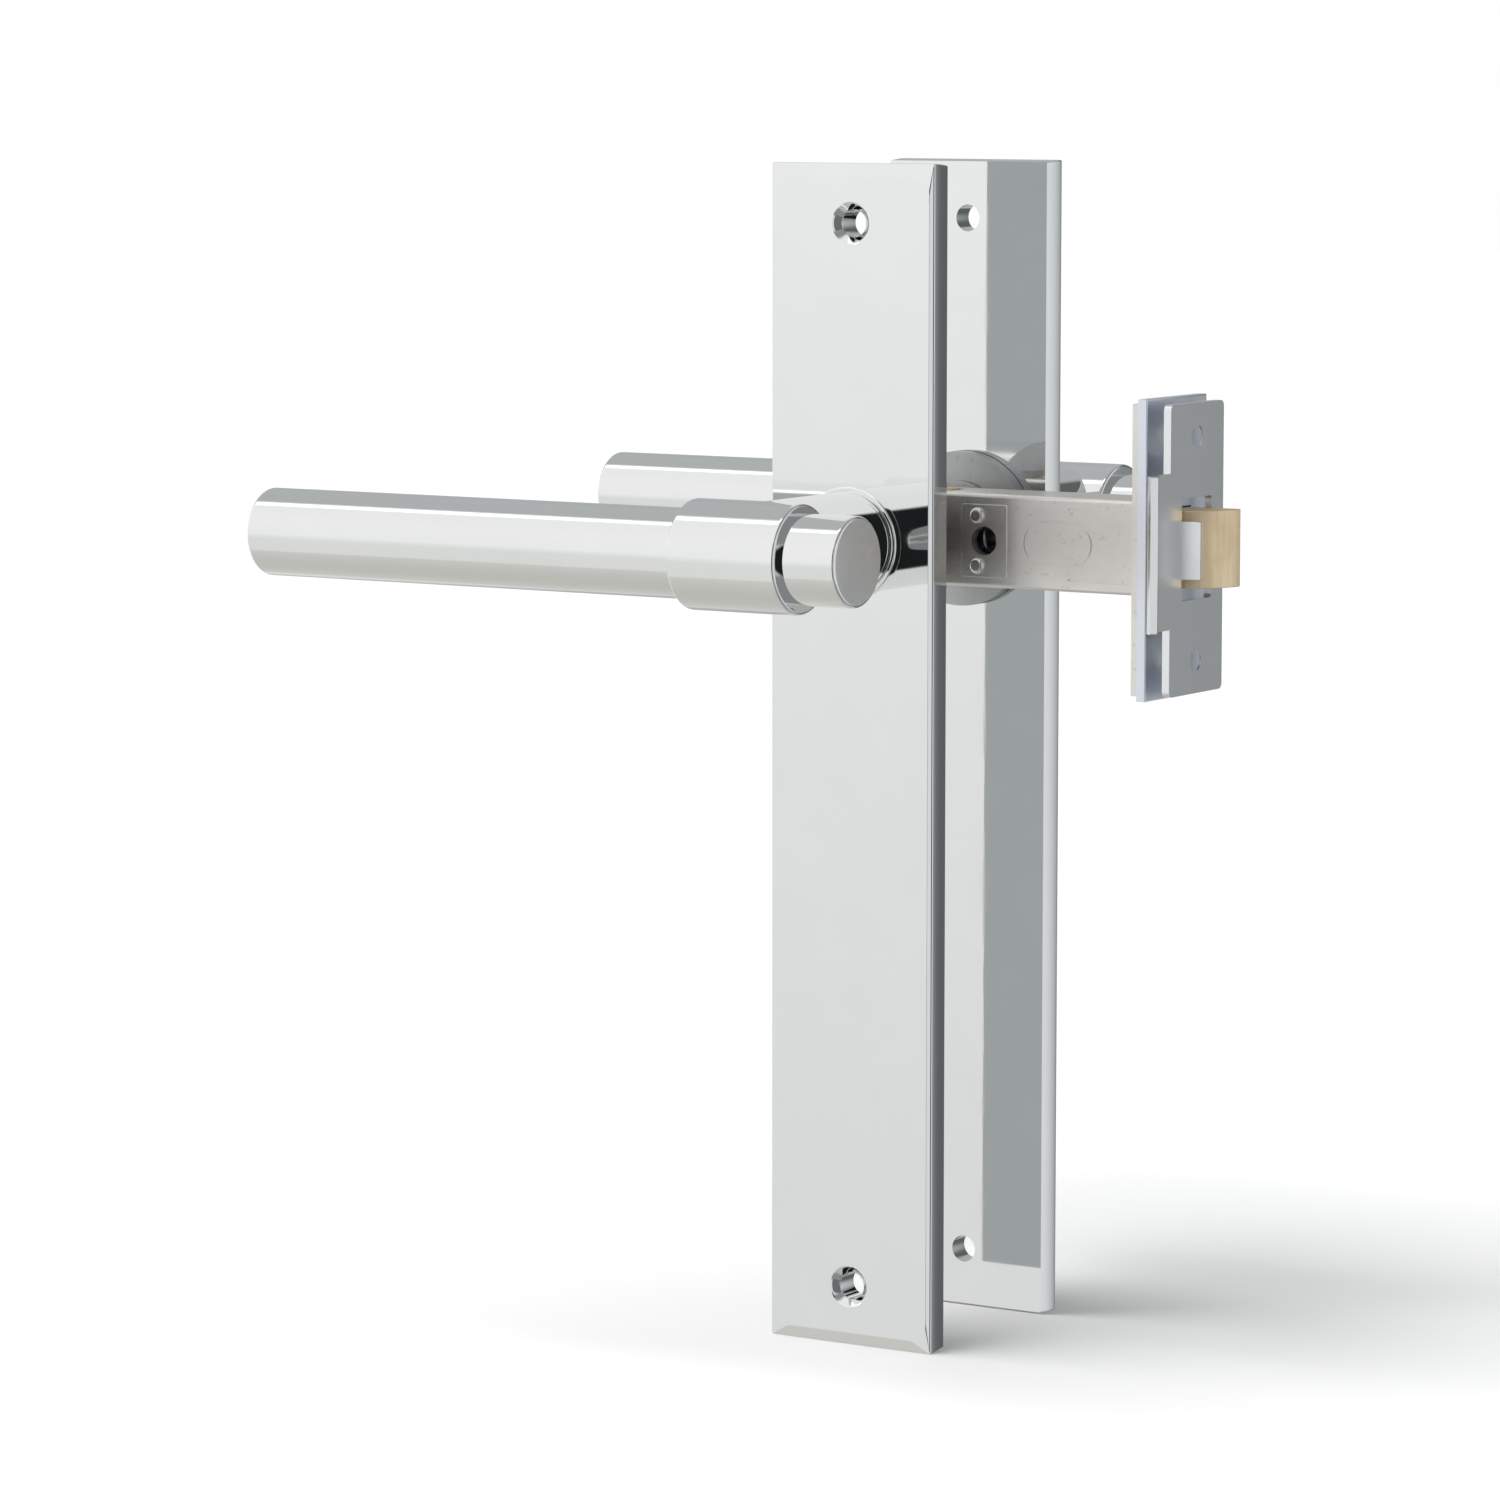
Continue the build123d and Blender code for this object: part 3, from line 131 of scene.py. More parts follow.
class Wire:
    """One node output that takes part in Python arithmetic."""

    def __init__(self, shader: "Shader", socket: bpy.types.NodeSocket) -> None:
        """Keep the shader and the socket that this wire starts from."""
        self.shader = shader
        self.socket = socket

    def _math(self, operation: str, *values: Any, clamp: bool = False) -> "Wire":
        """Add a Math node.

        Args:
            operation: the node's operation.
            values: what its sockets take, in order.
            clamp: whether the result is held between 0 and 1.

        Returns:
            The node's result.
        """
        settings = {"operation": operation, "use_clamp": clamp}
        return self.shader.node("ShaderNodeMath", settings, dict(enumerate(values)))[0]

    def __add__(self, other: Any) -> "Wire":
        """Sum."""
        return self._math("ADD", self, other)

    def __radd__(self, other: Any) -> "Wire":
        """Sum, with the wire on the right."""
        return self._math("ADD", other, self)

    def __sub__(self, other: Any) -> "Wire":
        """Difference."""
        return self._math("SUBTRACT", self, other)

    def __rsub__(self, other: Any) -> "Wire":
        """Difference, with the wire on the right."""
        return self._math("SUBTRACT", other, self)

    def __mul__(self, other: Any) -> "Wire":
        """Product."""
        return self._math("MULTIPLY", self, other)

    def __rmul__(self, other: Any) -> "Wire":
        """Product, with the wire on the right."""
        return self._math("MULTIPLY", other, self)

    def clamped(self) -> "Wire":
        """The value held between 0 and 1."""
        return self._math("ADD", self, 0.0, clamp=True)


class Results:
    """The outputs of one node, picked by number or name."""

    def __init__(self, shader: "Shader", node: bpy.types.Node) -> None:
        """Keep the node."""
        self.shader = shader
        self.node = node

    def __getitem__(self, key: int | str) -> Wire:
        """One output as a wire."""
        return Wire(self.shader, self.node.outputs[key])


class Shader:
    """A node tree under construction."""

    def __init__(self, tree: bpy.types.NodeTree) -> None:
        """Start from an empty tree."""
        self.tree = tree
        self.tree.nodes.clear()

    def node(
        self,
        kind: str,
        settings: dict[str, Any] | None = None,
        sockets: dict[int | str, Any] | None = None,
    ) -> Results:
        """Add any node.

        Args:
            kind: the node's type.
            settings: its properties; "stops" are a ramp's (position, value) pairs.
            sockets: values or wires for its inputs, by number or name.

        Returns:
            The node's outputs.
        """
        made = self.tree.nodes.new(kind)
        for key, value in (settings or {}).items():
            if key == "stops":
                self._set_stops(made.color_ramp, value)
            else:
                setattr(made, key, value)
        for key, value in (sockets or {}).items():
            if isinstance(value, Wire):
                self.tree.links.new(value.socket, made.inputs[key])
            else:
                made.inputs[key].default_value = value
        return Results(self, made)

    @staticmethod
    def _set_stops(ramp: bpy.types.ColorRamp, stops: Sequence[tuple[float, Any]]) -> None:
        """Give a ramp its stops.

        Args:
            ramp: the ramp, with its two stops.
            stops: positions with a grey value or a colour.
        """
        while len(ramp.elements) < len(stops):
            ramp.elements.new(1.0)
        for element, (position, value) in zip(ramp.elements, stops):
            rgb = value if isinstance(value, tuple) else (value,) * 3
            element.position = position
            element.color = (*rgb, 1.0)

    def place(self, scale: Point = (1.0, 1.0, 1.0)) -> Wire:
        """Object coordinates, stretched by a scale on each axis."""
        coordinates = self.node("ShaderNodeTexCoord")["Object"]
        return self.node("ShaderNodeMapping", {}, {"Vector": coordinates, "Scale": scale})[0]

    def noise(self, vector: Wire, scale: float, detail: float = 2.0) -> Wire:
        """Noise between 0 and 1.

        Args:
            vector: where it is read.
            scale: repeats in a metre.
            detail: how many finer layers it has.

        Returns:
            The noise's value.
        """
        sockets = {"Vector": vector, "Scale": scale, "Detail": detail}
        return self.node("ShaderNodeTexNoise", {"noise_dimensions": "3D"}, sockets)[0]

    def soften(self, value: Wire, start: float, end: float) -> Wire:
        """A smooth step of a value, 0 at start and 1 at end."""
        sockets = {"Value": value, "From Min": start, "From Max": end}
        return self.node("ShaderNodeMapRange", {"interpolation_type": "SMOOTHSTEP"}, sockets)[0]

    def blend(self, factor: Any, a: Any, b: Any) -> Wire:
        """A colour between a and b.

        Args:
            factor: 0 for a and 1 for b.
            a: a colour or a wire.
            b: a colour or a wire.

        Returns:
            The mixed colour.
        """
        ends = [value if isinstance(value, Wire) else (*value, 1.0) for value in (a, b)]
        sockets = {MIX_FACTOR: factor, MIX_A: ends[0], MIX_B: ends[1]}
        return self.node("ShaderNodeMix", {"data_type": "RGBA"}, sockets)[MIX_COLOUR]

    def bump(self, height: Wire, strength: float, distance: float) -> Wire:
        """A normal bent by a height, with distance in metres."""
        sockets = {"Height": height, "Strength": strength, "Distance": distance}
        return self.node("ShaderNodeBump", {}, sockets)[0]

    def surface(self, sockets: dict[int | str, Any]) -> None:
        """End a material's tree in one surface shader with these sockets."""
        made = self.node("ShaderNodeBsdfPrincipled", {}, sockets)
        self.node("ShaderNodeOutputMaterial", {}, {"Surface": made[0]})


# ---- finishes -----------------------------------------------------------------------


class Grain(Enum):
    """The way that fine lines run over a metal; the value squeezes noise across them."""

    EVEN = (1.0, 1.0, 1.0)
    ALONG_X = (0.05, 1.0, 1.0)
    ALONG_Z = (1.0, 1.0, 0.05)


@dataclass(frozen=True)
class Finish:
    """What a surface is made of; subclasses lay out its nodes."""

    name: str
    tint: Colour
    gloss: float

    def material(self) -> bpy.types.Material:
        """The finish's material, made once.

        Returns:
            The material.
        """
        known = bpy.data.materials.get(f"finish_{self.name}")
        if known:
            return known
        made = bpy.data.materials.new(f"finish_{self.name}")
        made.use_nodes = True
        self.lay_out(Shader(made.node_tree))
        return made

    def lay_out(self, shader: Shader) -> None:
        """Lay out the nodes; each kind of finish has its own."""
        raise NotImplementedError

    def shaded(self, share: float) -> Colour:
        """The tint made darker by a share."""
        return tuple(channel * share for channel in self.tint)


@dataclass(frozen=True)
class Chrome(Finish):
    """Polished chrome plate: a mirror with the faint swell of the buffed metal below it."""

    swell: float = 0.02
    haze: float = 0.03
    faced_ends: tuple[float, float] | None = None  # beyond these places on X it is satin
    satin: float = 0.25
    swell_scale: float = 34.0
    cloud_scale: float = 90.0
    hairline_scale: float = 2600.0

    def sheen(self, shader: Shader, cloud: Wire) -> Wire:
        """The roughness, with satin end faces where the piece has them.

        Args:
            shader: the material's tree.
            cloud: the noise that the haze follows.

        Returns:
            The roughness.
        """
        polished = self.gloss + self.haze * shader.soften(cloud, 0.45, 0.75)
        if self.faced_ends is None:
            return polished
        along = shader.node("ShaderNodeSeparateXYZ", {}, {0: shader.place()})["X"]
        low, high = self.faced_ends
        ends = shader.soften(along, high - END_BLEND, high)
        ends = ends + shader.soften(along, low + END_BLEND, low)
        return polished + (self.satin - self.gloss) * ends

    def lay_out(self, shader: Shader) -> None:
        """Lay out the mirror, its swell, its haze and a few hairlines.

        Args:
            shader: the material's tree.
        """
        swell = shader.noise(shader.place(), self.swell_scale, 1.0)
        cloud = shader.noise(shader.place(), self.cloud_scale, 3.0)
        hairlines = shader.noise(shader.place((1.0, 1.0, 0.04)), self.hairline_scale, 2.0)
        fine = shader.bump(hairlines, 0.012, 0.0001)
        settings = {"Height": swell, "Strength": self.swell, "Distance": 0.001, "Normal": fine}
        normal = shader.node("ShaderNodeBump", {}, settings)[0]
        shader.surface(
            {
                "Base Color": shader.blend(cloud, self.tint, self.shaded(0.965)),
                "Metallic": 1.0,
                "Roughness": self.sheen(shader, cloud),
                "Normal": normal,
            }
        )


@dataclass(frozen=True)
class SheetMetal(Finish):
    """Plated sheet or turned steel with fine grain and a mottled sheen."""

    grain: Grain = Grain.EVEN
    mottle: float = 0.12
    relief: float = 0.06
    grain_scale: float = 1500.0
    mottle_scale: float = 160.0
    speck_scale: float = 900.0

    def lay_out(self, shader: Shader) -> None:
        """Lay out the grain, the mottled sheen and a slight change of tint.

        Args:
            shader: the material's tree.
        """
        grain = shader.noise(shader.place(self.grain.value), self.grain_scale, 4.0)
        mottle = shader.noise(shader.place(), self.mottle_scale, 4.0)
        specks = shader.noise(shader.place(), self.speck_scale, 1.0)
        specks = shader.soften(specks, 0.66, 0.74)
        tint = shader.blend(mottle, self.tint, self.shaded(0.88))
        shader.surface(
            {
                "Base Color": shader.blend(specks * 0.5, tint, self.shaded(0.72)),
                "Metallic": 1.0,
                "Roughness": (
                    self.gloss + self.mottle * (mottle - 0.5) + 0.10 * grain
                ).clamped(),
                "Normal": shader.bump(grain, self.relief, 0.0004),
            }
        )


@dataclass(frozen=True)
class Brass(Finish):
    """Bare brass with tool lines and a darker, redder tarnish in places."""

    grain: Grain = Grain.ALONG_Z
    tarnish: Colour = (0.46, 0.30, 0.14)
    relief: float = 0.10
    line_scale: float = 1300.0
    broad_scale: float = 320.0
    tarnish_scale: float = 120.0
    line_share: float = 0.35
    tarnish_share: float = 0.22

    def lay_out(self, shader: Shader) -> None:
        """Lay out the tool lines, the tarnish and a satin sheen.

        Args:
            shader: the material's tree.
        """
        lines = shader.noise(shader.place(self.grain.value), self.line_scale, 5.0)
        broad = shader.noise(shader.place(self.grain.value), self.broad_scale, 2.0)
        tarnish = shader.noise(shader.place(), self.tarnish_scale, 3.0)
        tarnish = shader.soften(tarnish, 0.46, 0.80)
        cut = shader.soften(lines, 0.42, 0.72) * self.line_share
        lined = shader.blend(cut, self.tint, self.shaded(0.74))
        shader.surface(
            {
                "Base Color": shader.blend(tarnish * self.tarnish_share, lined, self.tarnish),
                "Metallic": 1.0,
                "Roughness": (self.gloss + 0.16 * broad + 0.10 * lines).clamped(),
                "Normal": shader.bump(lines * 0.6 + broad * 0.4, self.relief, 0.0005),
            }
        )


@dataclass(frozen=True)
class Coating(Finish):
    """A non-metal surface: black oxide on steel, or moulded nylon."""

    grain_scale: float = 700.0
    relief: float = 0.08
    cloud_scale: float = 140.0

    def lay_out(self, shader: Shader) -> None:
        """Lay out a fine texture with a slight change of tint and sheen.

        Args:
            shader: the material's tree.
        """
        grain = shader.noise(shader.place(), self.grain_scale, 3.0)
        cloud = shader.noise(shader.place(), self.cloud_scale, 2.0)
        shader.surface(
            {
                "Base Color": shader.blend(cloud, self.tint, self.shaded(0.80)),
                "Roughness": (self.gloss + 0.18 * (grain - 0.5)).clamped(),
                "Normal": shader.bump(grain, self.relief, 0.0003),
                "Specular IOR Level": 0.5,
            }
        )


BAR_CHROME = Chrome(
    "bar_chrome", (0.88, 0.89, 0.885), 0.025, faced_ends=(-0.11596, 0.02496)
)
FINISHES: dict[str, Finish] = {
    "plate_chrome": Chrome("plate_chrome", (0.87, 0.885, 0.88), 0.03),
    "lever_chrome": Chrome("lever_chrome", (0.88, 0.89, 0.885), 0.025),
    "strike_chrome": Chrome("strike_chrome", (0.90, 0.91, 0.92), 0.24),
    "faceplate_chrome": Chrome("faceplate_chrome", (0.84, 0.87, 0.95), 0.34, 0.03, 0.06),
    "case_nickel": SheetMetal("case_nickel", (0.91, 0.875, 0.84), 0.30, Grain.ALONG_X),
    "rivet_nickel": SheetMetal("rivet_nickel", (0.80, 0.79, 0.77), 0.20),
    "hub_brass": Brass("hub_brass", (0.88, 0.68, 0.39), 0.20, Grain.EVEN),
    "bolt_brass": Brass("bolt_brass", (0.97, 0.79, 0.55), 0.36, Grain.ALONG_Z),
    "pressed_steel": SheetMetal("pressed_steel", (0.62, 0.63, 0.64), 0.34),
    "zinc_steel": SheetMetal("zinc_steel", (0.66, 0.67, 0.68), 0.26),
    "spring_steel": SheetMetal("spring_steel", (0.46, 0.46, 0.47), 0.30),
    "black_steel": Coating("black_steel", (0.045, 0.045, 0.048), 0.42),
    "bush_nylon": Coating("bush_nylon", (0.82, 0.80, 0.75), 0.46, 420.0),
}


# ---- shapes -------------------------------------------------------------------------


class Axis(Enum):
    """The axis that a turned shape runs along; the value is its direction."""

    X = (1.0, 0.0, 0.0)
    Y = (0.0, 1.0, 0.0)
    Z = (0.0, 0.0, 1.0)

    def at(self, radius: float, along: float, centre: Point) -> Vector:
        """A point on a turned shape's section, at a radius and a place on the axis."""
        side = Vector((0.0, 0.0, radius)) if self is not Axis.Z else Vector((radius, 0.0, 0.0))
        return Vector(centre) + Vector(self.value) * along + side


Pick = Callable[[Vector, Vector], bool]


@dataclass(frozen=True)
class Ring:
    """A rounded rectangle, square to the Y axis."""

    middle: Point
    width: float
    height: float
    corner: float


class Form:
    """A closed shape in the making, in millimetres."""

    def __init__(self) -> None:
        """Start with nothing."""
        self.mesh = bmesh.new()

    # -- starts --

    @classmethod
    def block(cls, low: Point, high: Point) -> "Form":
        """A block between two corners.

        Args:
            low: the lowest corner.
            high: the highest corner.

        Returns:
            The block.
        """
        form = cls()
        size = Vector(high) - Vector(low)
        matrix = Matrix.Translation((Vector(low) + Vector(high)) / 2) @ Matrix.Diagonal((*size, 1))
        bmesh.ops.create_cube(form.mesh, size=1.0, matrix=matrix)
        return form

    @classmethod
    def turned(
        cls,
        axis: Axis,
        centre: Point,
        section: Sequence[tuple[float, float]],
        steps: int = FINE,
    ) -> "Form":
        """A shape turned on a lathe.

        Args:
            axis: the axis it is turned about.
            centre: the point that places on the axis are counted from.
            section: (radius, place) points; a section that starts and ends off the
                axis is closed into a ring.
            steps: how many steps make the full turn.

        Returns:
            The closed shape.
        """
        form = cls()
        points = [form.mesh.verts.new(axis.at(r, along, centre)) for r, along in section]
        for a, b in zip(points, points[1:]):
            form.mesh.edges.new((a, b))
        if section[0][0] > 0 and section[-1][0] > 0:
            form.mesh.edges.new((points[-1], points[0]))
        bmesh.ops.spin(
            form.mesh,
            geom=form.mesh.verts[:] + form.mesh.edges[:],
            cent=centre,
            axis=axis.value,
            angle=math.tau,
            steps=steps,
            use_merge=True,
        )
        bmesh.ops.remove_doubles(form.mesh, verts=form.mesh.verts[:], dist=1e-5)
        bmesh.ops.recalc_face_normals(form.mesh, faces=form.mesh.faces[:])
        return form

    @classmethod
    def lofted(cls, rings: Iterable[Ring]) -> "Form":
        """A closed shape through a stack of rounded rectangles, square to Y.

        Args:
            rings: the rectangles, from one capped end to the other.

        Returns:
            The closed shape.
        """
        form = cls()
        mesh, loops = form.mesh, []
        for ring in rings:
            matrix = Matrix.Translation(ring.middle) @ Matrix.Rotation(math.pi / 2, 4, "X")
            made = bmesh.ops.create_grid(mesh, x_segments=1, y_segments=1, size=0.5, matrix=matrix)
            verts, size = made["verts"], (ring.width, 1.0, ring.height)
            bmesh.ops.scale(
                mesh, verts=verts, vec=size, space=Matrix.Translation(-Vector(ring.middle))
            )
            bmesh.ops.bevel(
                mesh,
                geom=verts,
                affect="VERTICES",
                offset=ring.corner,
                segments=CORNER_STEPS,
                profile=0.5,
                material=-1,
            )
            face = next(f for f in mesh.faces if abs(f.normal.y) > 0.99 and len(f.verts) > 4)
            loops.append(list(face.edges))
            bmesh.ops.delete(mesh, geom=[face], context="FACES_ONLY")
        for near, far in zip(loops, loops[1:]):
            bmesh.ops.bridge_loops(mesh, edges=near + far)
        for end in (loops[0], loops[-1]):
            bmesh.ops.contextual_create(mesh, geom=end)
        bmesh.ops.recalc_face_normals(mesh, faces=mesh.faces[:])
        return form

    @classmethod
    def coiled(cls, axis: Axis, start: Point, wire: float, way: tuple[float, float]) -> "Form":
        """A coil of round wire about the X or Y axis.

        Args:
            axis: the axis it is wound about.
            start: the middle of the wire where it begins.
            wire: the wire's radius.
            way: how many degrees it is wound, and how far it moves along the axis.

        Returns:
            The closed shape.
        """
        form = cls()
        degrees, along = way
        steps = round(degrees / COIL_STEP)
        tilt = Matrix.Rotation(math.pi / 2 if axis is Axis.X else 0.0, 4, "X")
        bmesh.ops.create_circle(
            form.mesh,
            cap_ends=True,
            segments=WIRE_SIDES,
            radius=wire,
            matrix=Matrix.Translation(start) @ tilt,
        )
        hand = 1.0 if axis is Axis.X else -1.0
        bmesh.ops.spin(
            form.mesh,
            geom=form.mesh.faces[:],
            cent=(0.0, 0.0, 0.0),
            axis=Vector(axis.value) * hand,
            dvec=Vector(axis.value) * (along / steps),
            angle=math.radians(degrees),
            steps=steps,
        )
        bmesh.ops.recalc_face_normals(form.mesh, faces=form.mesh.faces[:])
        return form

    @classmethod
    def rod(cls, axis: Axis, centre: Point, radius: float, low: float, high: float) -> "Form":
        """A plain round rod between two places on an axis, used as a tool."""
        section = [(0.0, low), (radius, low), (radius, high), (0.0, high)]
        return cls.turned(axis, centre, section, MEDIUM)

    @classmethod
    def stadium(cls, low: Point, high: Point, axis: Axis, steps: int = 12) -> "Form":
        """A block whose shorter ends are fully rounded, seen along an axis.

        Args:
            low: the lowest corner.
            high: the highest corner.
            axis: the axis it is seen along.
            steps: how many steps make each quarter turn.

        Returns:
            The closed shape.
        """
        form = cls.block(low, high)
        sizes = sorted((high[i] - low[i]) for i in range(3) if not axis.value[i])
        form.round_along(axis, sizes[0] / 2 - 0.001, steps)
        return form

    # -- changes --

    def edges(self, pick: Pick) -> list[bmesh.types.BMEdge]:
        """The edges whose middle and direction a test picks.

        Args:
            pick: takes an edge's middle and direction.

        Returns:
            The edges that it picks.
        """
        found = []
        for edge in self.mesh.edges:
            a, b = (vert.co for vert in edge.verts)
            if (b - a).length > 0 and pick((a + b) / 2, (b - a).normalized()):
                found.append(edge)
        return found

    def bevel(self, edges: Iterable[Any], width: float, steps: int) -> "Form":
        """Round some edges by a width in a number of steps.

        Args:
            edges: the edges.
            width: how far they are cut back.
            steps: how many faces make each round.

        Returns:
            This shape, changed.
        """
        bmesh.ops.bevel(
            self.mesh,
            geom=list(edges),
            offset=width,
            offset_type="OFFSET",
            affect="EDGES",
            segments=steps,
            profile=0.5,
            material=-1,
            clamp_overlap=True,
        )
        return self

    def round_where(self, pick: Pick, width: float, steps: int = 4) -> "Form":
        """Round the edges that a test picks."""
        return self.bevel(self.edges(pick), width, steps)

    def round_along(self, axis: Axis, width: float, steps: int = 4) -> "Form":
        """Round the edges that run along an axis."""
        direction = Vector(axis.value)
        return self.round_where(lambda _, way: abs(way.dot(direction)) > 0.999, width, steps)

    def round_sharp(self, width: float, steps: int = 3, angle: float = 60.0) -> "Form":
        """Round every edge whose faces meet at more than an angle in degrees.

        Args:
            width: how far they are cut back.
            steps: how many faces make each round.
            angle: the least angle that counts as sharp.

        Returns:
            This shape, changed.
        """
        limit = math.radians(angle)
        sharp = [e for e in self.mesh.edges if e.is_manifold and e.calc_face_angle(0) > limit]
        return self.bevel(sharp, width, steps)

    def turn(self, axis: Axis, degrees: float, centre: Point = (0.0, 0.0, 0.0)) -> "Form":
        """Turn the shape about an axis through a point.

        Args:
            axis: the axis's direction.
            degrees: how far it turns.
            centre: a point on the axis.

        Returns:
            This shape, changed.
        """
        matrix = Matrix.Rotation(math.radians(degrees), 3, Vector(axis.value))
        bmesh.ops.rotate(self.mesh, verts=self.mesh.verts[:], cent=centre, matrix=matrix)
        return self

    def move(self, by: Point) -> "Form":
        """Move the shape."""
        bmesh.ops.translate(self.mesh, verts=self.mesh.verts[:], vec=by)
        return self

    def with_mirror(self, axis: Axis) -> "Form":
        """Add the shape's mirror image across the plane through the origin.

        Args:
            axis: what the plane is square to.

        Returns:
            This shape and its image.
        """
        bmesh.ops.mirror(
            self.mesh,
            geom=self.mesh.verts[:] + self.mesh.edges[:] + self.mesh.faces[:],
            axis=axis.name,
            merge_dist=-1,
        )
        bmesh.ops.recalc_face_normals(self.mesh, faces=self.mesh.faces[:])
        return self

    def flipped(self) -> "Form":
        """Turn a front shape into the back one, across the middle of the door.

        Returns:
            This shape, changed.
        """
        bmesh.ops.scale(self.mesh, verts=self.mesh.verts[:], vec=(1.0, -1.0, 1.0))
        bmesh.ops.reverse_faces(self.mesh, faces=self.mesh.faces[:])
        return self

    def _solid(self, other: "Form", operation: str) -> "Form":
        """Join or cut with another closed shape.

        Args:
            other: the tool.
            operation: the modifier's operation.

        Returns:
            This shape, changed.
        """
        pair = []
        for form in (self, other):
            mesh = bpy.data.meshes.new("tool")
            form.mesh.to_mesh(mesh)
            pair.append(bpy.data.objects.new("tool", mesh))
            bpy.context.scene.collection.objects.link(pair[-1])
        modifier = pair[0].modifiers.new("solid", "BOOLEAN")
        modifier.operation = operation
        modifier.solver = "EXACT"
        modifier.object = pair[1]
        graph = bpy.context.evaluated_depsgraph_get()
        result = bpy.data.meshes.new_from_object(pair[0].evaluated_get(graph))
        self.mesh.clear()
        self.mesh.from_mesh(result)
        for tool in pair:
            mesh = tool.data
            bpy.data.objects.remove(tool)
            bpy.data.meshes.remove(mesh)
        bpy.data.meshes.remove(result)
        bmesh.ops.remove_doubles(self.mesh, verts=self.mesh.verts[:], dist=1e-4)
        return self

    def cut(self, *others: "Form") -> "Form":
        """Cut with each tool in turn.

        Args:
            others: the tools.

        Returns:
            This shape, changed.
        """
        for other in others:
            self._solid(other, "DIFFERENCE")
        return self

    def join(self, *others: "Form") -> "Form":
        """Join with each shape in turn.

        Args:
            others: the shapes.

        Returns:
            This shape, changed.
        """
        for other in others:
            self._solid(other, "UNION")
        return self

    # -- end --

    def piece(
        self, name: str, slot: str, body: str | None, *nodes: str, finish: Finish | None = None
    ) -> bpy.types.Object:
        """Finish the shape as a piece of the object.

        Args:
            name: the piece's name.
            slot: the material slot it takes its finish from.
            body: the body it rides on, or None for a piece that is attached to no body.
            nodes: the frame's nodes that it stands for.
            finish: a variant of the slot's finish.

        Returns:
            The piece.
        """
        bmesh.ops.scale(self.mesh, verts=self.mesh.verts[:], vec=(MILLIMETRE,) * 3)
        mesh = bpy.data.meshes.new(name)
        self.mesh.to_mesh(mesh)
        self.mesh.free()
        mesh.materials.append((finish or FINISHES[slot]).material())
        mesh.shade_smooth()
        mesh.set_sharp_from_angle(angle=CREASE)
        made = bpy.data.objects.new(name, mesh)
        bpy.context.scene.collection.objects.link(made)
        weighted = made.modifiers.new("even_normals", "WEIGHTED_NORMAL")
        weighted.keep_sharp = True
        weighted.weight = 100
        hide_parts(*nodes)
        if body:
            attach(made, body)
        log.info("%s: %d faces, stands for %s", name, len(mesh.polygons), ", ".join(nodes))
        return made


# ---- the parts of the set -----------------------------------------------------------


class Side(Enum):
    """Which side of the door a handle is on; the value begins its nodes' names."""

    FRONT = "front"
    BACK = "back"

    def place(self, form: Form) -> Form:
        """A shape made for the front, placed on this side."""
        return form if self is Side.FRONT else form.flipped()


FIXED = "door_set"
TURNING = "lever_set"
SLIDING = "bolt_set"
DOOR_FACE = -20.0
LEVER_Y = -64.5
LEVER_AXIS: Point = (0.0, LEVER_Y, 0.0)
SPINDLE: Point = (0.0, 0.0, 0.0)


def dress(nodes: Iterable[str], slot: str, frame: dict[str, Any]) -> None:
    """Give carried-over nodes their finish.

    Args:
        nodes: the nodes' names.
        slot: the material slot whose finish they take.
        frame: the loaded frame.
    """
    for node in nodes:
        for material_slot in frame["nodes"][node].material_slots:
            material_slot.material = FINISHES[slot].material()
        log.info("%s: carried over in %s", node, slot)


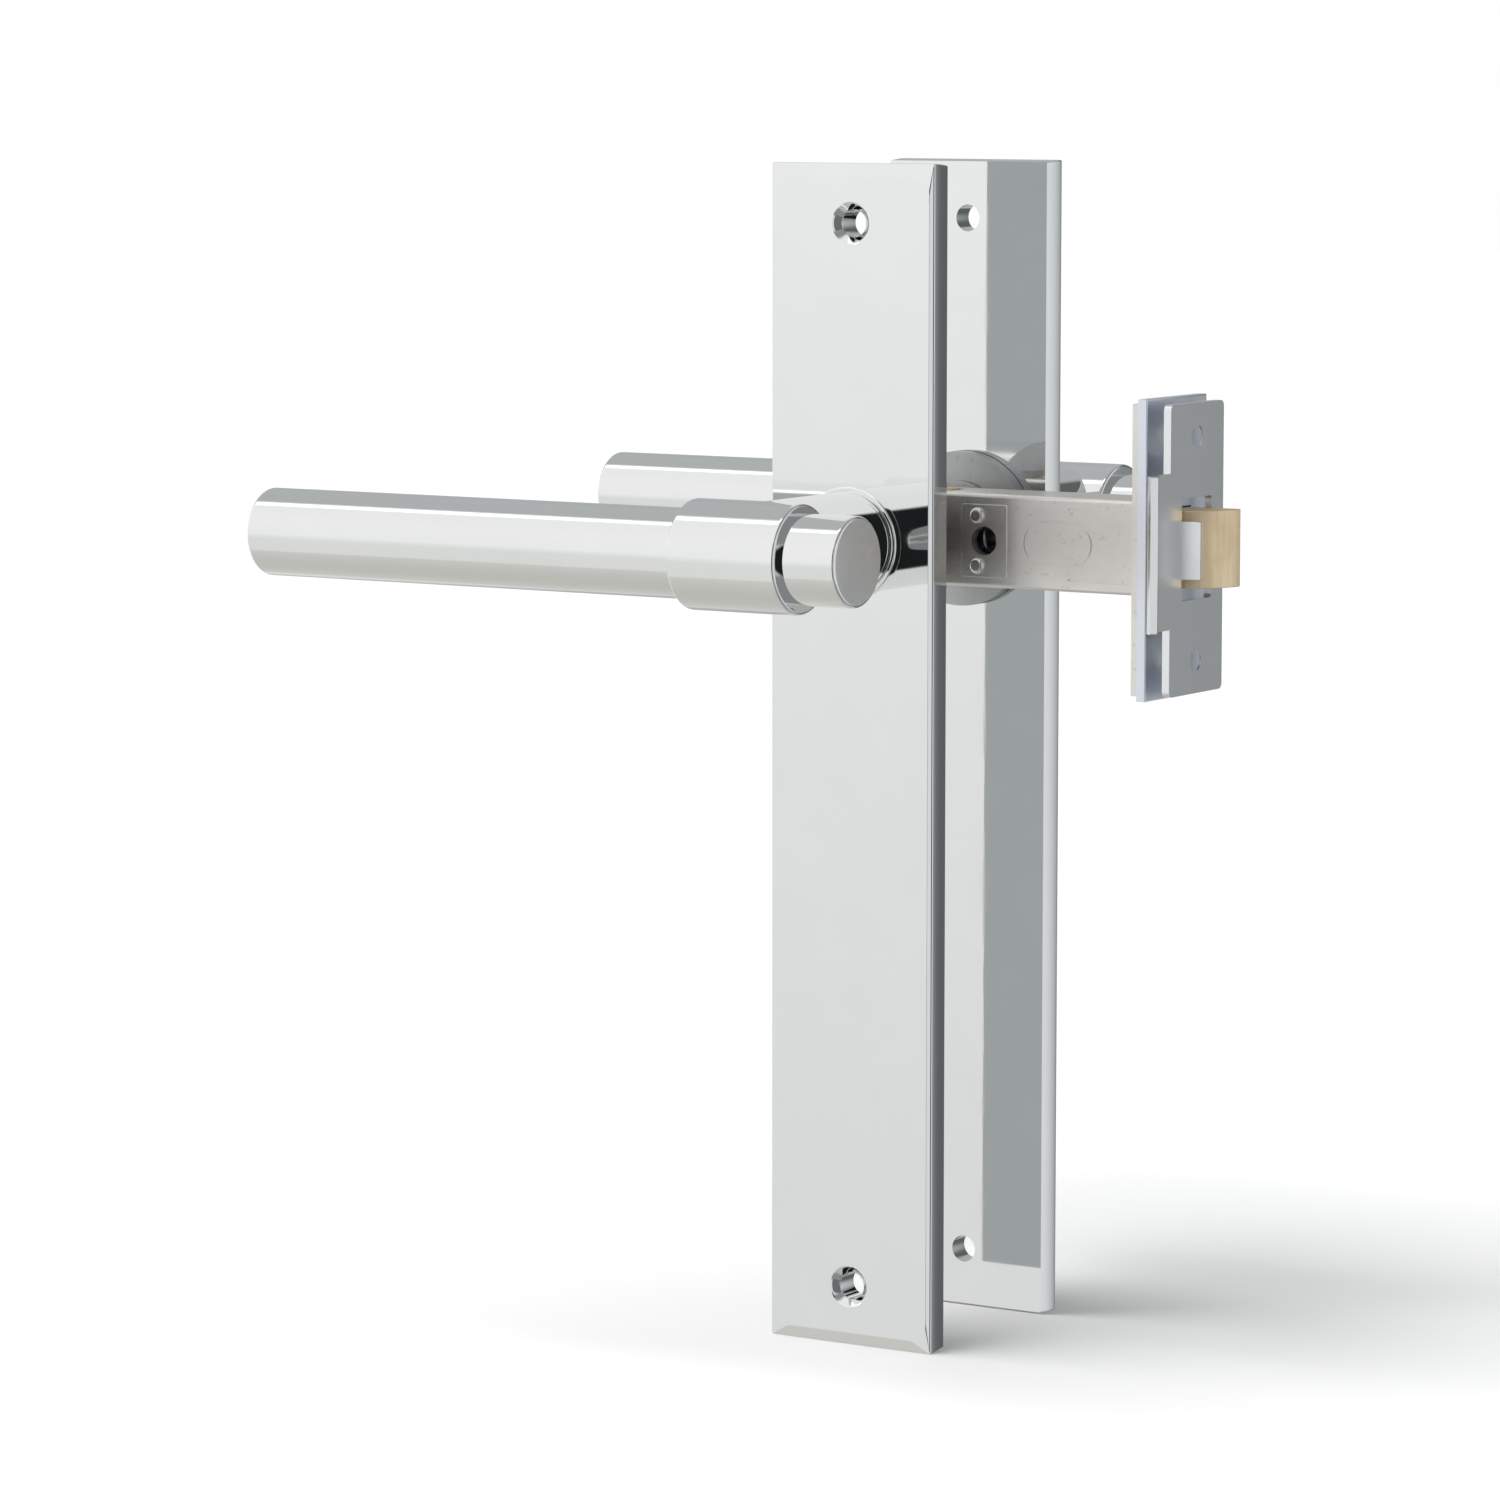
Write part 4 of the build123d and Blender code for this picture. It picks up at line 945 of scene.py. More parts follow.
@dataclass
class Backplate:
    """A long chromed plate with a softly rolled face, and the ring round the neck."""

    side: Side
    half_width: float = 19.0
    low: float = -164.0
    high: float = 76.0
    thickness: float = 6.5
    roll: float = 0.8  # width of the face's rolled border along its long edges
    roll_at_ends: float = 3.0  # and at the top and bottom
    roll_depth: float = 0.8
    roll_blend: float = 0.25  # share of the border that eases out of the face
    corners: tuple[float, float] = (5.5, 0.35)  # corner radii of the face and of the plate
    edge: float = 0.25
    draft: float = 0.36  # how far the sides draw in towards the door
    holes: tuple[float, float] = (-152.0, 64.0)
    hole_radius: float = 2.75
    sink_radius: float = 4.1
    recess_radius: float = 16.1
    recess_depth: float = 4.0
    spigot_radius: float = 10.0
    ring_bore: float = 8.5
    ring_radius: float = 11.4
    ring_proud: float = 1.2
    ring_edge: float = 0.35

    def build(self) -> None:
        """Make the plate and its ring."""
        name = self.side.value
        plate = self.side.place(self.plate())
        plate.piece(f"{name}_plate", "plate_chrome", FIXED, f"{name}_backplate")
        ring = self.side.place(self.ring())
        ring.piece(f"{name}_ring", "plate_chrome", FIXED, f"{name}_collar_ring")

    def plate(self) -> Form:
        """The plate, with its rolled face, drawn-in sides, screw holes and recess.

        Returns:
            The plate.
        """
        face = DOOR_FACE - self.thickness
        form = Form.lofted([*self.rolled_border(face), *self.drawn_sides(face)])
        form.cut(*[self.screw_hole(z, face) for z in self.holes])
        recess = Form.rod(
            Axis.Y, SPINDLE, self.recess_radius, DOOR_FACE - self.recess_depth, DOOR_FACE + REACH
        )
        bore = Form.rod(Axis.Y, SPINDLE, self.spigot_radius, face - REACH, DOOR_FACE)
        return form.cut(recess, bore)

    def outline(self, y: float, beside: float, above: float, corner: float) -> Ring:
        """The plate's outline at one depth.

        Args:
            y: where the outline lies.
            beside: how far it lies inside the plate's long edges.
            above: how far it lies inside the plate's ends.
            corner: its corner radius.

        Returns:
            The outline.
        """
        middle = (0.0, y, (self.high + self.low) / 2)
        width, height = 2 * (self.half_width - beside), self.high - self.low - 2 * above
        return Ring(middle, width, height, corner)

    def rolled_border(self, face: float) -> list[Ring]:
        """The rings of the face's border, which rolls back towards the edge.

        Args:
            face: where the plate's face lies.

        Returns:
            The rings, from the face outwards.
        """
        rings = []
        inner, outer = self.corners
        for step in range(BORDER_STEPS + 1):
            out = step / BORDER_STEPS
            eased = out * out / (2 * self.roll_blend)
            straight = out - self.roll_blend / 2
            drop = (eased if out < self.roll_blend else straight) / (1 - self.roll_blend / 2)
            y = face + self.roll_depth * drop
            beside = self.edge + (self.roll - self.edge) * (1 - out)
            above = self.edge + (self.roll_at_ends - self.edge) * (1 - out)
            rings.append(self.outline(y, beside, above, inner + (outer - inner) * out))
        return rings

    def drawn_sides(self, face: float) -> list[Ring]:
        """The rings of the rounded edge and of the sides, which draw in behind it.

        Args:
            face: where the plate's face lies.

        Returns:
            The rings, from the edge to the door.
        """
        rings = []
        rim = face + self.roll_depth
        for step in range(1, EDGE_STEPS + 1):
            turn = step / EDGE_STEPS * math.pi / 2
            inside = self.edge * (1 - math.sin(turn))
            y = rim + self.edge * (1 - math.cos(turn))
            rings.append(self.outline(y, inside, inside, self.corners[1]))
        rim += self.edge
        for step in range(1, SIDE_STEPS + 1):
            deep = step / SIDE_STEPS
            inside = self.draft * deep**DRAFT_CURVE
            y = rim + (DOOR_FACE - rim) * deep
            rings.append(self.outline(y, inside, inside, self.corners[1]))
        return rings

    def screw_hole(self, z: float, face: float) -> Form:
        """The tool that cuts one countersunk screw hole.

        Args:
            z: the hole's height.
            face: the plate's face.

        Returns:
            The tool, with a lip that leaves the countersink's rim slightly worn.
        """
        sink = self.sink_radius - self.hole_radius
        section = [
            (0.0, face - REACH),
            (self.sink_radius + 0.9, face - REACH),
            (self.sink_radius + 0.22, face - 0.02),
            (self.sink_radius + 0.06, face + 0.10),
            (self.sink_radius - 0.14, face + 0.24),
            (self.hole_radius + 0.10, face + sink),
            (self.hole_radius, face + sink + 0.2),
            (self.hole_radius, DOOR_FACE + REACH),
            (0.0, DOOR_FACE + REACH),
        ]
        return Form.turned(Axis.Y, (0.0, 0.0, z), section, MEDIUM)

    def ring(self) -> Form:
        """The raised ring that the neck turns in.

        Returns:
            The ring.
        """
        face = DOOR_FACE - self.thickness
        front, rear = face - self.ring_proud, DOOR_FACE - self.recess_depth
        section = [
            (self.ring_bore, rear),
            (self.spigot_radius, rear),
            (self.spigot_radius, face),
            (self.ring_radius, face),
            (self.ring_radius, front),
            (self.ring_bore, front),
        ]
        form = Form.turned(Axis.Y, SPINDLE, section)
        return form.round_where(
            lambda at, way: abs(at.y - front) < NEAR
            and abs(way.dot(Vector((at.x, 0.0, at.z)).normalized())) < 0.5,
            self.ring_edge,
            5,
        )


@dataclass
class Lever:
    """The turned neck, the sleeve on it and the round bar through the sleeve."""

    side: Side
    neck_radius: float = 10.4
    neck_start: float = -28.0
    neck_edge: float = 0.3
    journal_radius: float = 7.0
    journal_end: float = -14.4
    journal_flat: float = 5.6
    groove: tuple[float, float] = (-16.1, -15.1)
    groove_radius: float = 6.0
    socket: float = 4.1
    socket_end: float = -37.0
    grub_y: float = -33.0
    grub_radius: float = 2.5
    sleeve_radius: float = 11.0
    sleeve_half: float = 12.5
    sleeve_edge: float = 0.7
    bar_radius: float = 9.0
    bar_tip: float = -116.0
    bar_stub: float = 25.0
    bar_edge: float = 0.75

    def build(self) -> None:
        """Make the neck, the sleeve and the bar."""
        name = self.side.value
        shapes = {
            "neck": (self.neck(), None),
            "sleeve": (self.sleeve(), None),
            "bar": (self.bar(), BAR_CHROME),
        }
        for part, (form, finish) in shapes.items():
            self.side.place(form).piece(
                f"{name}_turned_{part}",
                "lever_chrome",
                TURNING,
                f"{name}_lever_{part}",
                finish=finish,
            )

    def neck(self) -> Form:
        """The neck and its journal, coped to the sleeve.

        Returns:
            The neck.
        """
        section = [
            (0.0, self.journal_end),
            (self.journal_radius, self.journal_end),
            (self.journal_radius, self.groove[1]),
            (self.groove_radius, self.groove[1]),
            (self.groove_radius, self.groove[0]),
            (self.journal_radius, self.groove[0]),
            (self.journal_radius, self.neck_start),
            (self.neck_radius, self.neck_start),
            (self.neck_radius, LEVER_Y),
            (0.0, LEVER_Y),
        ]
        form = Form.turned(Axis.Y, SPINDLE, section)
        radius = self.neck_radius
        form.round_where(
            lambda at, _: abs(at.y - self.neck_start) < NEAR
            and math.hypot(at.x, at.z) > radius - 0.1,
            self.neck_edge,
            4,
        )
        wide = self.journal_radius + REACH
        flat = Form.block(
            (self.journal_flat, DOOR_FACE - 3.0, -wide), (wide, self.journal_end + REACH, wide)
        ).with_mirror(Axis.X)
        square = Form.block(
            (-self.socket, self.socket_end, -self.socket),
            (self.socket, self.journal_end + REACH, self.socket),
        )
        cope = Form.rod(Axis.X, LEVER_AXIS, self.sleeve_radius, -2 * radius, 2 * radius)
        grub = Form.rod(
            Axis.Z, (0.0, self.grub_y, 0.0), self.grub_radius, -radius - REACH, -self.socket + 0.1
        )
        return form.cut(flat, square, cope, grub)

    def sleeve(self) -> Form:
        """The sleeve, a short tube with rounded outer edges.

        Returns:
            The sleeve.
        """
        half = self.sleeve_half
        section = [
            (self.bar_radius, -half),
            (self.sleeve_radius, -half),
            (self.sleeve_radius, half),
            (self.bar_radius, half),
        ]
        form = Form.turned(Axis.X, LEVER_AXIS, section)
        outer = self.sleeve_radius
        return form.round_where(
            lambda at, _: self.from_axis(at) > outer - 0.1 and abs(at.x) > half - 0.1,
            self.sleeve_edge,
            6,
        )

    def bar(self) -> Form:
        """The solid bar, with softly rounded ends.

        Returns:
            The bar.
        """
        section = [
            (0.0, self.bar_tip),
            (self.bar_radius, self.bar_tip),
            (self.bar_radius, self.bar_stub),
            (0.0, self.bar_stub),
        ]
        form = Form.turned(Axis.X, LEVER_AXIS, section)
        ends = (self.bar_tip, self.bar_stub)
        return form.round_where(
            lambda at, _: self.from_axis(at) > self.bar_radius - 0.1
            and min(abs(at.x - end) for end in ends) < NEAR,
            self.bar_edge,
            6,
        )

    @staticmethod
    def from_axis(at: Vector) -> float:
        """How far a point is from the lever's axis."""
        return math.hypot(at.y - LEVER_Y, at.z)


@dataclass
class Cassette:
    """The return spring's cassette and the small pieces round the journal."""

    side: Side
    coil_radius: float = 10.6
    wire: float = 0.45
    turned_by: float = 810.0  # degrees from the driven leg to the held one
    driven_leg: float = 81.0
    leg_reach: float = 13.8
    driven_y: float = -19.95
    held_y: float = -22.45
    finishes: dict[str, str] = field(
        default_factory=lambda: {
            "cassette_housing": "pressed_steel",
            "cassette_cover": "pressed_steel",
            "cassette_driver": "pressed_steel",
            "cassette_screws": "zinc_steel",
            "thrust_washer": "zinc_steel",
            "circlip": "black_steel",
            "neck_bush": "bush_nylon",
            "neck_screw": "zinc_steel",
            "grub_screw": "black_steel",
        }
    )

    def build(self, frame: dict[str, Any]) -> None:
        """Make the spring and dress the rest.

        Args:
            frame: the loaded frame.
        """
        name = self.side.value
        spring = self.side.place(self.spring())
        made = spring.piece(
            f"{name}_torsion_spring", "spring_steel", None, f"{name}_cassette_spring"
        )
        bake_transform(made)
        for part, slot in self.finishes.items():
            dress([f"{name}_{part}"], slot, frame)

    def spring(self) -> Form:
        """The torsion spring: a coil with a leg on the driver and a leg on a screw.

        Returns:
            The spring.
        """
        form = Form.coiled(
            Axis.Y,
            (self.coil_radius, self.driven_y, 0.0),
            self.wire,
            (self.turned_by, self.held_y - self.driven_y),
        )
        for y, angle in ((self.driven_y, 0.0), (self.held_y, self.turned_by)):
            section = [
                (0.0, self.coil_radius),
                (self.wire, self.coil_radius),
                (self.wire, self.leg_reach),
                (0.0, self.leg_reach),
            ]
            leg = Form.turned(Axis.X, (0.0, y, 0.0), section, WIRE_SIDES)
            form.join(leg.turn(Axis.Y, -angle))
        return form.turn(Axis.Y, -self.driven_leg)


@dataclass
class TubularLatch:
    """The latch: folded case with its cover, hub, bolt, spring and the plates on the edge."""

    rear: float = -14.0
    front: float = 58.0
    half_thick: float = 7.0
    half_high: float = 9.5
    wall: float = 1.0
    forend_x: float = 56.3
    forend_half: tuple[float, float] = (11.7, 29.0)
    faceplate_half: tuple[float, float] = (12.5, 30.0)
    faceplate_end: float = 60.0
    slot_z: float = 21.0
    slot_half: tuple[float, float] = (2.1, 3.1)
    hub_hole: float = 7.0
    pad_x: float = 20.0
    pad_half: tuple[float, float] = (5.3, 7.4)
    pad_proud: float = 0.3
    pad_hole: float = 2.9
    pad_rivets: tuple[float, float] = (18.5, 5.1)
    pad_rivet_hole: float = 1.0
    pad_corner: float = 0.6
    pad_edge: float = 0.15
    rear_rivet_x: float = -11.0
    rear_rivet_hole: float = 1.5
    case_corner: float = 0.8
    case_rear_edge: float = 0.6
    cover_gap: float = 0.05
    bolt_gap: float = 0.3
    forend_edge: float = 0.15
    faceplate_edge: float = 0.3
    side_slot: tuple[float, float, float] = (-8.49, 9.86, 2.9)
    press_depth: float = 0.22
    press_oval: tuple[float, float, float] = (29.0, 45.0, 4.5)  # ends and half height
    press_inset: float = 0.55
    press_line: tuple[float, float, float, float] = (39.3, 56.0, 7.1, 0.25)
    bolt: tuple[float, float, float, float] = (53.0, 71.4, 5.8, 7.75)
    bolt_round: float = 11.3
    bolt_edge: float = 0.22
    hub_radius: float = 6.9
    hub_half: float = 7.4
    hub_edge: float = 0.35
    star_half: float = 4.075
    arm: tuple[float, float, float, float] = (11.6, 0.9, 2.2, 50.0)
    spring: tuple[float, float, float, float, int] = (14.35, 35.55, 3.9, 0.45, 7)

    def build(self, frame: dict[str, Any]) -> None:
        """Make the latch's own pieces and dress the rest.

        Args:
            frame: the loaded frame.
        """
        self.case().piece("latch_shell", "case_nickel", FIXED, "latch_case")
        self.cover().piece("latch_side", "case_nickel", FIXED, "case_cover")
        forend = self.edge_plate(
            self.forend_x, self.front, self.forend_half, self.mouth(), self.forend_edge
        )
        forend.piece("inner_forend", "case_nickel", FIXED, "latch_forend")
        outer = self.edge_plate(
            self.front,
            self.faceplate_end,
            self.faceplate_half,
            self.bolt_opening(),
            self.faceplate_edge,
        )
        outer.piece("outer_faceplate", "faceplate_chrome", FIXED, "faceplate")
        self.bolt_head().piece("brass_bolt", "bolt_brass", SLIDING, "latch_bolt")
        self.hub().piece("brass_hub", "hub_brass", TURNING, "latch_hub")
        coil = self.coil().piece("bolt_return_spring", "spring_steel", SLIDING, "bolt_spring")
        start, end = self.spring[0] - self.spring[3], self.spring[1] + self.spring[3]
        travel = frame["joints_by_name"]["bolt_slide"]["range_m"][1] / MILLIMETRE
        (end - start - travel) / (end - start)
        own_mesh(coil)
        dress(["pad_rivets", "rear_rivet"], "rivet_nickel", frame)
        dress(["latch_carriage", "spring_bracket", "guide_rod"], "pressed_steel", frame)
        dress(["bolt_pin", "spindle"], "zinc_steel", frame)

    def side_tools(self, low: float, high: float) -> list[Form]:
        """The tools that cut the round holes of a wide wall between two depths.

        Args:
            low: where it starts on Y.
            high: where it ends on Y.

        Returns:
            The tools.
        """
        x, z = self.pad_rivets
        return [
            Form.rod(Axis.Y, SPINDLE, self.hub_hole, low, high),
            Form.rod(Axis.Y, (self.pad_x, 0.0, 0.0), self.pad_hole, low, high),
            Form.rod(Axis.Y, (x, 0.0, z), self.pad_rivet_hole, low, high),
            Form.rod(Axis.Y, (x, 0.0, -z), self.pad_rivet_hole, low, high),
            Form.rod(Axis.Y, (self.rear_rivet_x, 0.0, 0.0), self.rear_rivet_hole, low, high),
        ]

    def pad(self, low: float, high: float) -> Form:
        """The square pad pressed proud of a wide wall.

        Args:
            low: where it starts on Y.
            high: where it ends on Y.

        Returns:
            The pad.
        """
        half_long, half_high = self.pad_half
        form = Form.block(
            (self.pad_x - half_long, low, -half_high), (self.pad_x + half_long, high, half_high)
        )
        form.round_along(Axis.Y, self.pad_corner, 3)
        outer = low if abs(low) > abs(high) else high
        return form.round_where(lambda at, _: abs(at.y - outer) < NEAR, self.pad_edge, 2)

    def case(self) -> Form:
        """The folded case: one wide wall, both narrow walls and the rear wall.

        Returns:
            The case.
        """
        thick, high, wall = self.half_thick, self.half_high, self.wall
        form = Form.block((self.rear, -thick, -high), (self.front, thick, high))
        form.round_along(Axis.X, self.case_corner, 5)
        form.round_where(lambda at, _: abs(at.x - self.rear) < NEAR, self.case_rear_edge, 4)
        inside = Form.block(
            (self.rear + wall, wall - thick, wall - high),
            (self.front + REACH, thick + REACH, high - wall),
        )
        form.cut(inside).join(self.pad(-thick - self.pad_proud, 0.5 - thick))
        form.cut(*self.side_tools(-thick - REACH, REACH - thick + wall))
        rear, front, half = self.side_slot
        slot = Form.block((rear, -half, -2 * high), (front, half, 2 * high))
        slot.round_along(Axis.Z, 0.4, 3)
        return form.cut(slot, *self.press_marks())

    def press_marks(self) -> list[Form]:
        """The tools that leave the shallow oval and the two lines behind the forend.

        Returns:
            The tools.
        """
        face = -self.half_thick
        low, high = face - REACH, face + self.press_depth
        start, end, half = self.press_oval
        oval = Form.stadium((start, low, -half), (end, high, half), Axis.Y)
        start, end, half = start + self.press_inset, end - self.press_inset, half - self.press_inset
        oval.cut(Form.stadium((start, low - REACH, -half), (end, high + REACH, half), Axis.Y))
        start, end, away, half = self.press_line
        lines = [
            Form.block((start, low, z - half), (end, high, z + half)).round_along(
                Axis.Y, half - 0.01, 3
            )
            for z in (away, -away)
        ]
        return [oval, *lines]

    def cover(self) -> Form:
        """The plate that closes the case, let in between its narrow walls.

        Returns:
            The plate.
        """
        thick, wall, gap = self.half_thick, self.wall, self.cover_gap
        height = self.half_high - wall - gap
        form = Form.block(
            (self.rear + wall + gap, thick - wall, -height), (self.front - gap, thick, height)
        )
        form.round_sharp(0.12, 2)
        form.join(self.pad(thick - 0.5, thick + self.pad_proud))
        return form.cut(*self.side_tools(thick - wall - REACH, thick + REACH))

    def mouth(self) -> Form:
        """The tool that cuts the forend's opening round the case.

        Returns:
            The tool.
        """
        thick, high = self.half_thick, self.half_high
        tool = Form.block(
            (self.forend_x - REACH, -thick, -high), (self.front + REACH, thick, high)
        )
        return tool.round_along(Axis.X, self.case_corner, 5)

    def bolt_opening(self) -> Form:
        """The tool that cuts the faceplate's opening round the bolt.

        Returns:
            The tool.
        """
        _, _, half_thick, half_high = self.bolt
        gap = self.bolt_gap
        return Form.block(
            (self.front - REACH, -half_thick - gap, -half_high - gap),
            (self.faceplate_end + REACH, half_thick + gap, half_high + gap),
        ).round_along(Axis.X, 0.2, 3)

    def edge_plate(
        self, low: float, high: float, half: tuple[float, float], opening: Form, edge: float
    ) -> Form:
        """One plate on the door's edge.

        Args:
            low: its rear face.
            high: its front face.
            half: half its width and half its length.
            opening: the tool for its opening.
            edge: how far its front edge is rounded.

        Returns:
            The plate with its opening and two screw slots.
        """
        form = Form.block((low, -half[0], -half[1]), (high, half[0], half[1]))
        form.round_where(lambda at, _: abs(at.x - high) < NEAR, edge, 4)
        form.cut(opening)
        wide, long = self.slot_half
        for z in (self.slot_z, -self.slot_z):
            near, far = (low - REACH, -wide, z - long), (high + REACH, wide, z + long)
            form.cut(Form.stadium(near, far, Axis.X))
        return form

    def bolt_head(self) -> Form:
        """The bolt, flat on one side and rounded down to its tip on the other.

        Returns:
            The bolt.
        """
        rear, tip, half_thick, half_high = self.bolt
        form = Form.block((rear, -half_thick, -half_high), (tip, half_thick, half_high))
        form.round_where(
            lambda at, way: abs(way.z) > 0.99 and at.x > tip - 0.1 and at.y < 0,
            self.bolt_round,
            32,
        )
        return form.round_sharp(self.bolt_edge, 3, 50.0)

    def hub(self) -> Form:
        """The brass hub, with its star-shaped hole and the two arms that pull the bolt.

        Returns:
            The hub.
        """
        radius, half = self.hub_radius, self.hub_half
        section = [(0.0, -half), (radius, -half), (radius, half), (0.0, half)]
        form = Form.turned(Axis.Y, SPINDLE, section)
        form.round_where(
            lambda at, _: math.hypot(at.x, at.z) > radius - 0.1 and abs(at.y) > half - 0.1,
            self.hub_edge,
            3,
        )
        reach, arm_half, arm_thick, lean = self.arm
        for side in (1, -1):
            far = (reach + arm_half, arm_thick, arm_half)
            arm = Form.block((0.0, -arm_thick, -arm_half), far)
            arm.round_where(lambda at, way: abs(way.y) > 0.99 and at.x > reach, arm_half - 0.02, 6)
            form.join(arm.turn(Axis.Y, -side * lean))
        star = self.star_half
        for turn in (0.0, 45.0):
            square = Form.block((-star, -2 * half, -star), (star, 2 * half, star))
            form.cut(square.turn(Axis.Y, turn))
        return form

    def coil(self) -> Form:
        """The bolt's compression spring, a coil of round wire."""
        start, end, radius, wire, turns = self.spring
        return Form.coiled(Axis.X, (start, 0.0, radius), wire, (360.0 * turns, end - start))


@dataclass
class Strike:
    """The strike plate with its rolled lip and adjusting tab."""

    face: float = 63.0
    thickness: float = 1.6
    half_width: float = 11.1
    half_length: float = 29.0
    corner: float = 1.2
    hole_z: float = 22.3
    hole_radius: float = 2.3
    sink_radius: float = 4.1
    sink_depth: float = 1.26
    opening: tuple[float, float] = (6.3, 10.2)
    opening_corner: float = 0.8
    lip_half: float = 15.5
    lip_flat: float = 4.6
    lip_radius: float = 6.0
    lip_turn: float = 52.0
    lip_corner: float = 2.5
    tab_half: float = 5.8
    tab_length: float = 5.4
    tab_thick: float = 1.12
    tab_lean: float = 14.0
    tab_edge: float = 0.2
    tab_root: tuple[float, float] = (0.45, 0.4)  # behind the face and past the opening

    def build(self) -> None:
        """Make the strike."""
        self.shape().piece("strike_plate", "strike_chrome", FIXED, "strike")

    def shape(self) -> Form:
        """The plate with its lip, opening, screw holes and tab.

        Returns:
            The strike.
        """
        back = self.face + self.thickness
        form = Form.block(
            (self.face, -self.half_width, -self.half_length),
            (back, self.half_width, self.half_length),
        )
        self.draw_lip(form)
        form.round_where(
            lambda at, way: abs(way.x) > 0.9 and abs(at.z) > self.half_length - 0.1, self.corner, 5
        )
        width, height = self.opening
        opening = Form.block((self.face - REACH, -width, -height), (back + REACH, width, height))
        form.cut(opening.round_along(Axis.X, self.opening_corner, 4))
        form.cut(*[self.screw_hole(z) for z in (self.hole_z, -self.hole_z)])
        tab = Form.block(
            (0.0, -self.tab_thick / 2, -self.tab_half),
            (self.tab_length, self.tab_thick / 2, self.tab_half),
        )
        tab.round_sharp(self.tab_edge, 2)
        deep, past = self.tab_root
        tab.turn(Axis.Z, self.tab_lean).move((self.face + deep, -self.opening[0] - past, 0.0))
        return form.join(tab)

    def draw_lip(self, form: Form) -> None:
        """Draw the lip out of the plate's edge, then bend it back towards the jamb.

        Args:
            form: the plate, before its corners are rounded.
        """
        mesh = form.mesh
        for z in (self.lip_half, -self.lip_half):
            bmesh.ops.bisect_plane(
                mesh,
                geom=mesh.verts[:] + mesh.edges[:] + mesh.faces[:],
                plane_co=(0.0, 0.0, z),
                plane_no=(0.0, 0.0, 1.0),
            )
        side = [f for f in mesh.faces if f.normal.y < -0.9 and abs(f.calc_center_median().z) < 1.0]
        drawn = bmesh.ops.extrude_face_region(mesh, geom=side)["geom"]
        verts = [item for item in drawn if isinstance(item, bmesh.types.BMVert)]
        bmesh.ops.translate(mesh, verts=verts, vec=(0.0, -self.lip_flat, 0.0))
        tip = [item for item in drawn if isinstance(item, bmesh.types.BMFace)]
        bend = (self.face + self.thickness + self.lip_radius, -self.half_width - self.lip_flat, 0.0)
        bmesh.ops.spin(
            mesh,
            geom=tip,
            cent=bend,
            axis=(0.0, 0.0, 1.0),
            angle=math.radians(self.lip_turn),
            steps=LIP_STEPS,
        )
        inside = [f for f in side + tip if f.is_valid]
        bmesh.ops.delete(mesh, geom=inside, context="FACES_ONLY")
        bmesh.ops.remove_doubles(mesh, verts=mesh.verts[:], dist=1e-5)
        bmesh.ops.recalc_face_normals(mesh, faces=mesh.faces[:])
        lowest = min(vert.co.y for vert in mesh.verts)
        form.round_where(
            lambda at, way: abs(way.z) < 0.9
            and at.y < lowest + 0.8
            and abs(at.z) > self.lip_half - 0.1
            and abs(way.normalized().dot(self.lip_normal())) > 0.99,
            self.lip_corner,
            6,
        )

    def lip_normal(self) -> Vector:
        """The direction through the lip's thickness at its free end."""
        turn = math.radians(self.lip_turn)
        return Vector((math.cos(turn), math.sin(turn), 0.0))

    def screw_hole(self, z: float) -> Form:
        """The tool that cuts one screw hole, sunk from the side that faces the latch.

        Args:
            z: the hole's height.

        Returns:
            The tool.
        """
        section = [
            (0.0, -REACH),
            (self.sink_radius + 1.0, -REACH),
            (self.sink_radius + 0.12, -0.02),
            (self.sink_radius - 0.08, 0.12),
            (self.hole_radius, self.sink_depth),
            (self.hole_radius, self.thickness + REACH),
            (0.0, self.thickness + REACH),
        ]
        return Form.turned(Axis.X, (self.face, 0.0, z), section, MEDIUM)


# ---- studio -------------------------------------------------------------------------


@dataclass(frozen=True)
class Screen:
    """An upright screen in the studio: where it stands, how wide it is and its tint."""

    azimuth: float
    outer: float  # degrees from its middle to where it has faded out
    inner: float  # and to where it starts to fade
    tint: Colour

    def towards(self) -> Point:
        """The direction in which the screen stands."""
        turn = math.radians(self.azimuth)
        return (math.sin(turn), -math.cos(turn), 0.0)


WALLS: list[tuple[float, Colour]] = [  # from the floor, through the horizon, to the ceiling
    (0.00, (0.50, 0.49, 0.46)),
    (0.195, (0.655, 0.65, 0.62)),
    (0.212, (0.77, 0.775, 0.75)),
    (0.40, (0.78, 0.79, 0.78)),
    (0.445, (0.84, 0.85, 0.845)),
    (0.49, (0.93, 0.935, 0.93)),
    (0.72, (0.95, 0.95, 0.945)),
    (1.00, (0.91, 0.915, 0.915)),
]
BEHIND: Colour = (0.47, 0.485, 0.49)
STRIP: Colour = (1.7, 1.7, 1.7)
RIGHT: Colour = (0.75, 0.765, 0.77)
RIGHT_CORNERS: Colour = (0.27, 0.28, 0.285)
SCREENS = [
    Screen(24.0, 15.0, 11.0, (0.012, 0.013, 0.014)),
    Screen(57.0, 8.0, 4.0, (0.16, 0.165, 0.17)),
    Screen(172.0, 33.5, 12.0, (0.115, 0.125, 0.13)),
    Screen(200.0, 24.0, 16.0, (0.44, 0.455, 0.46)),
]


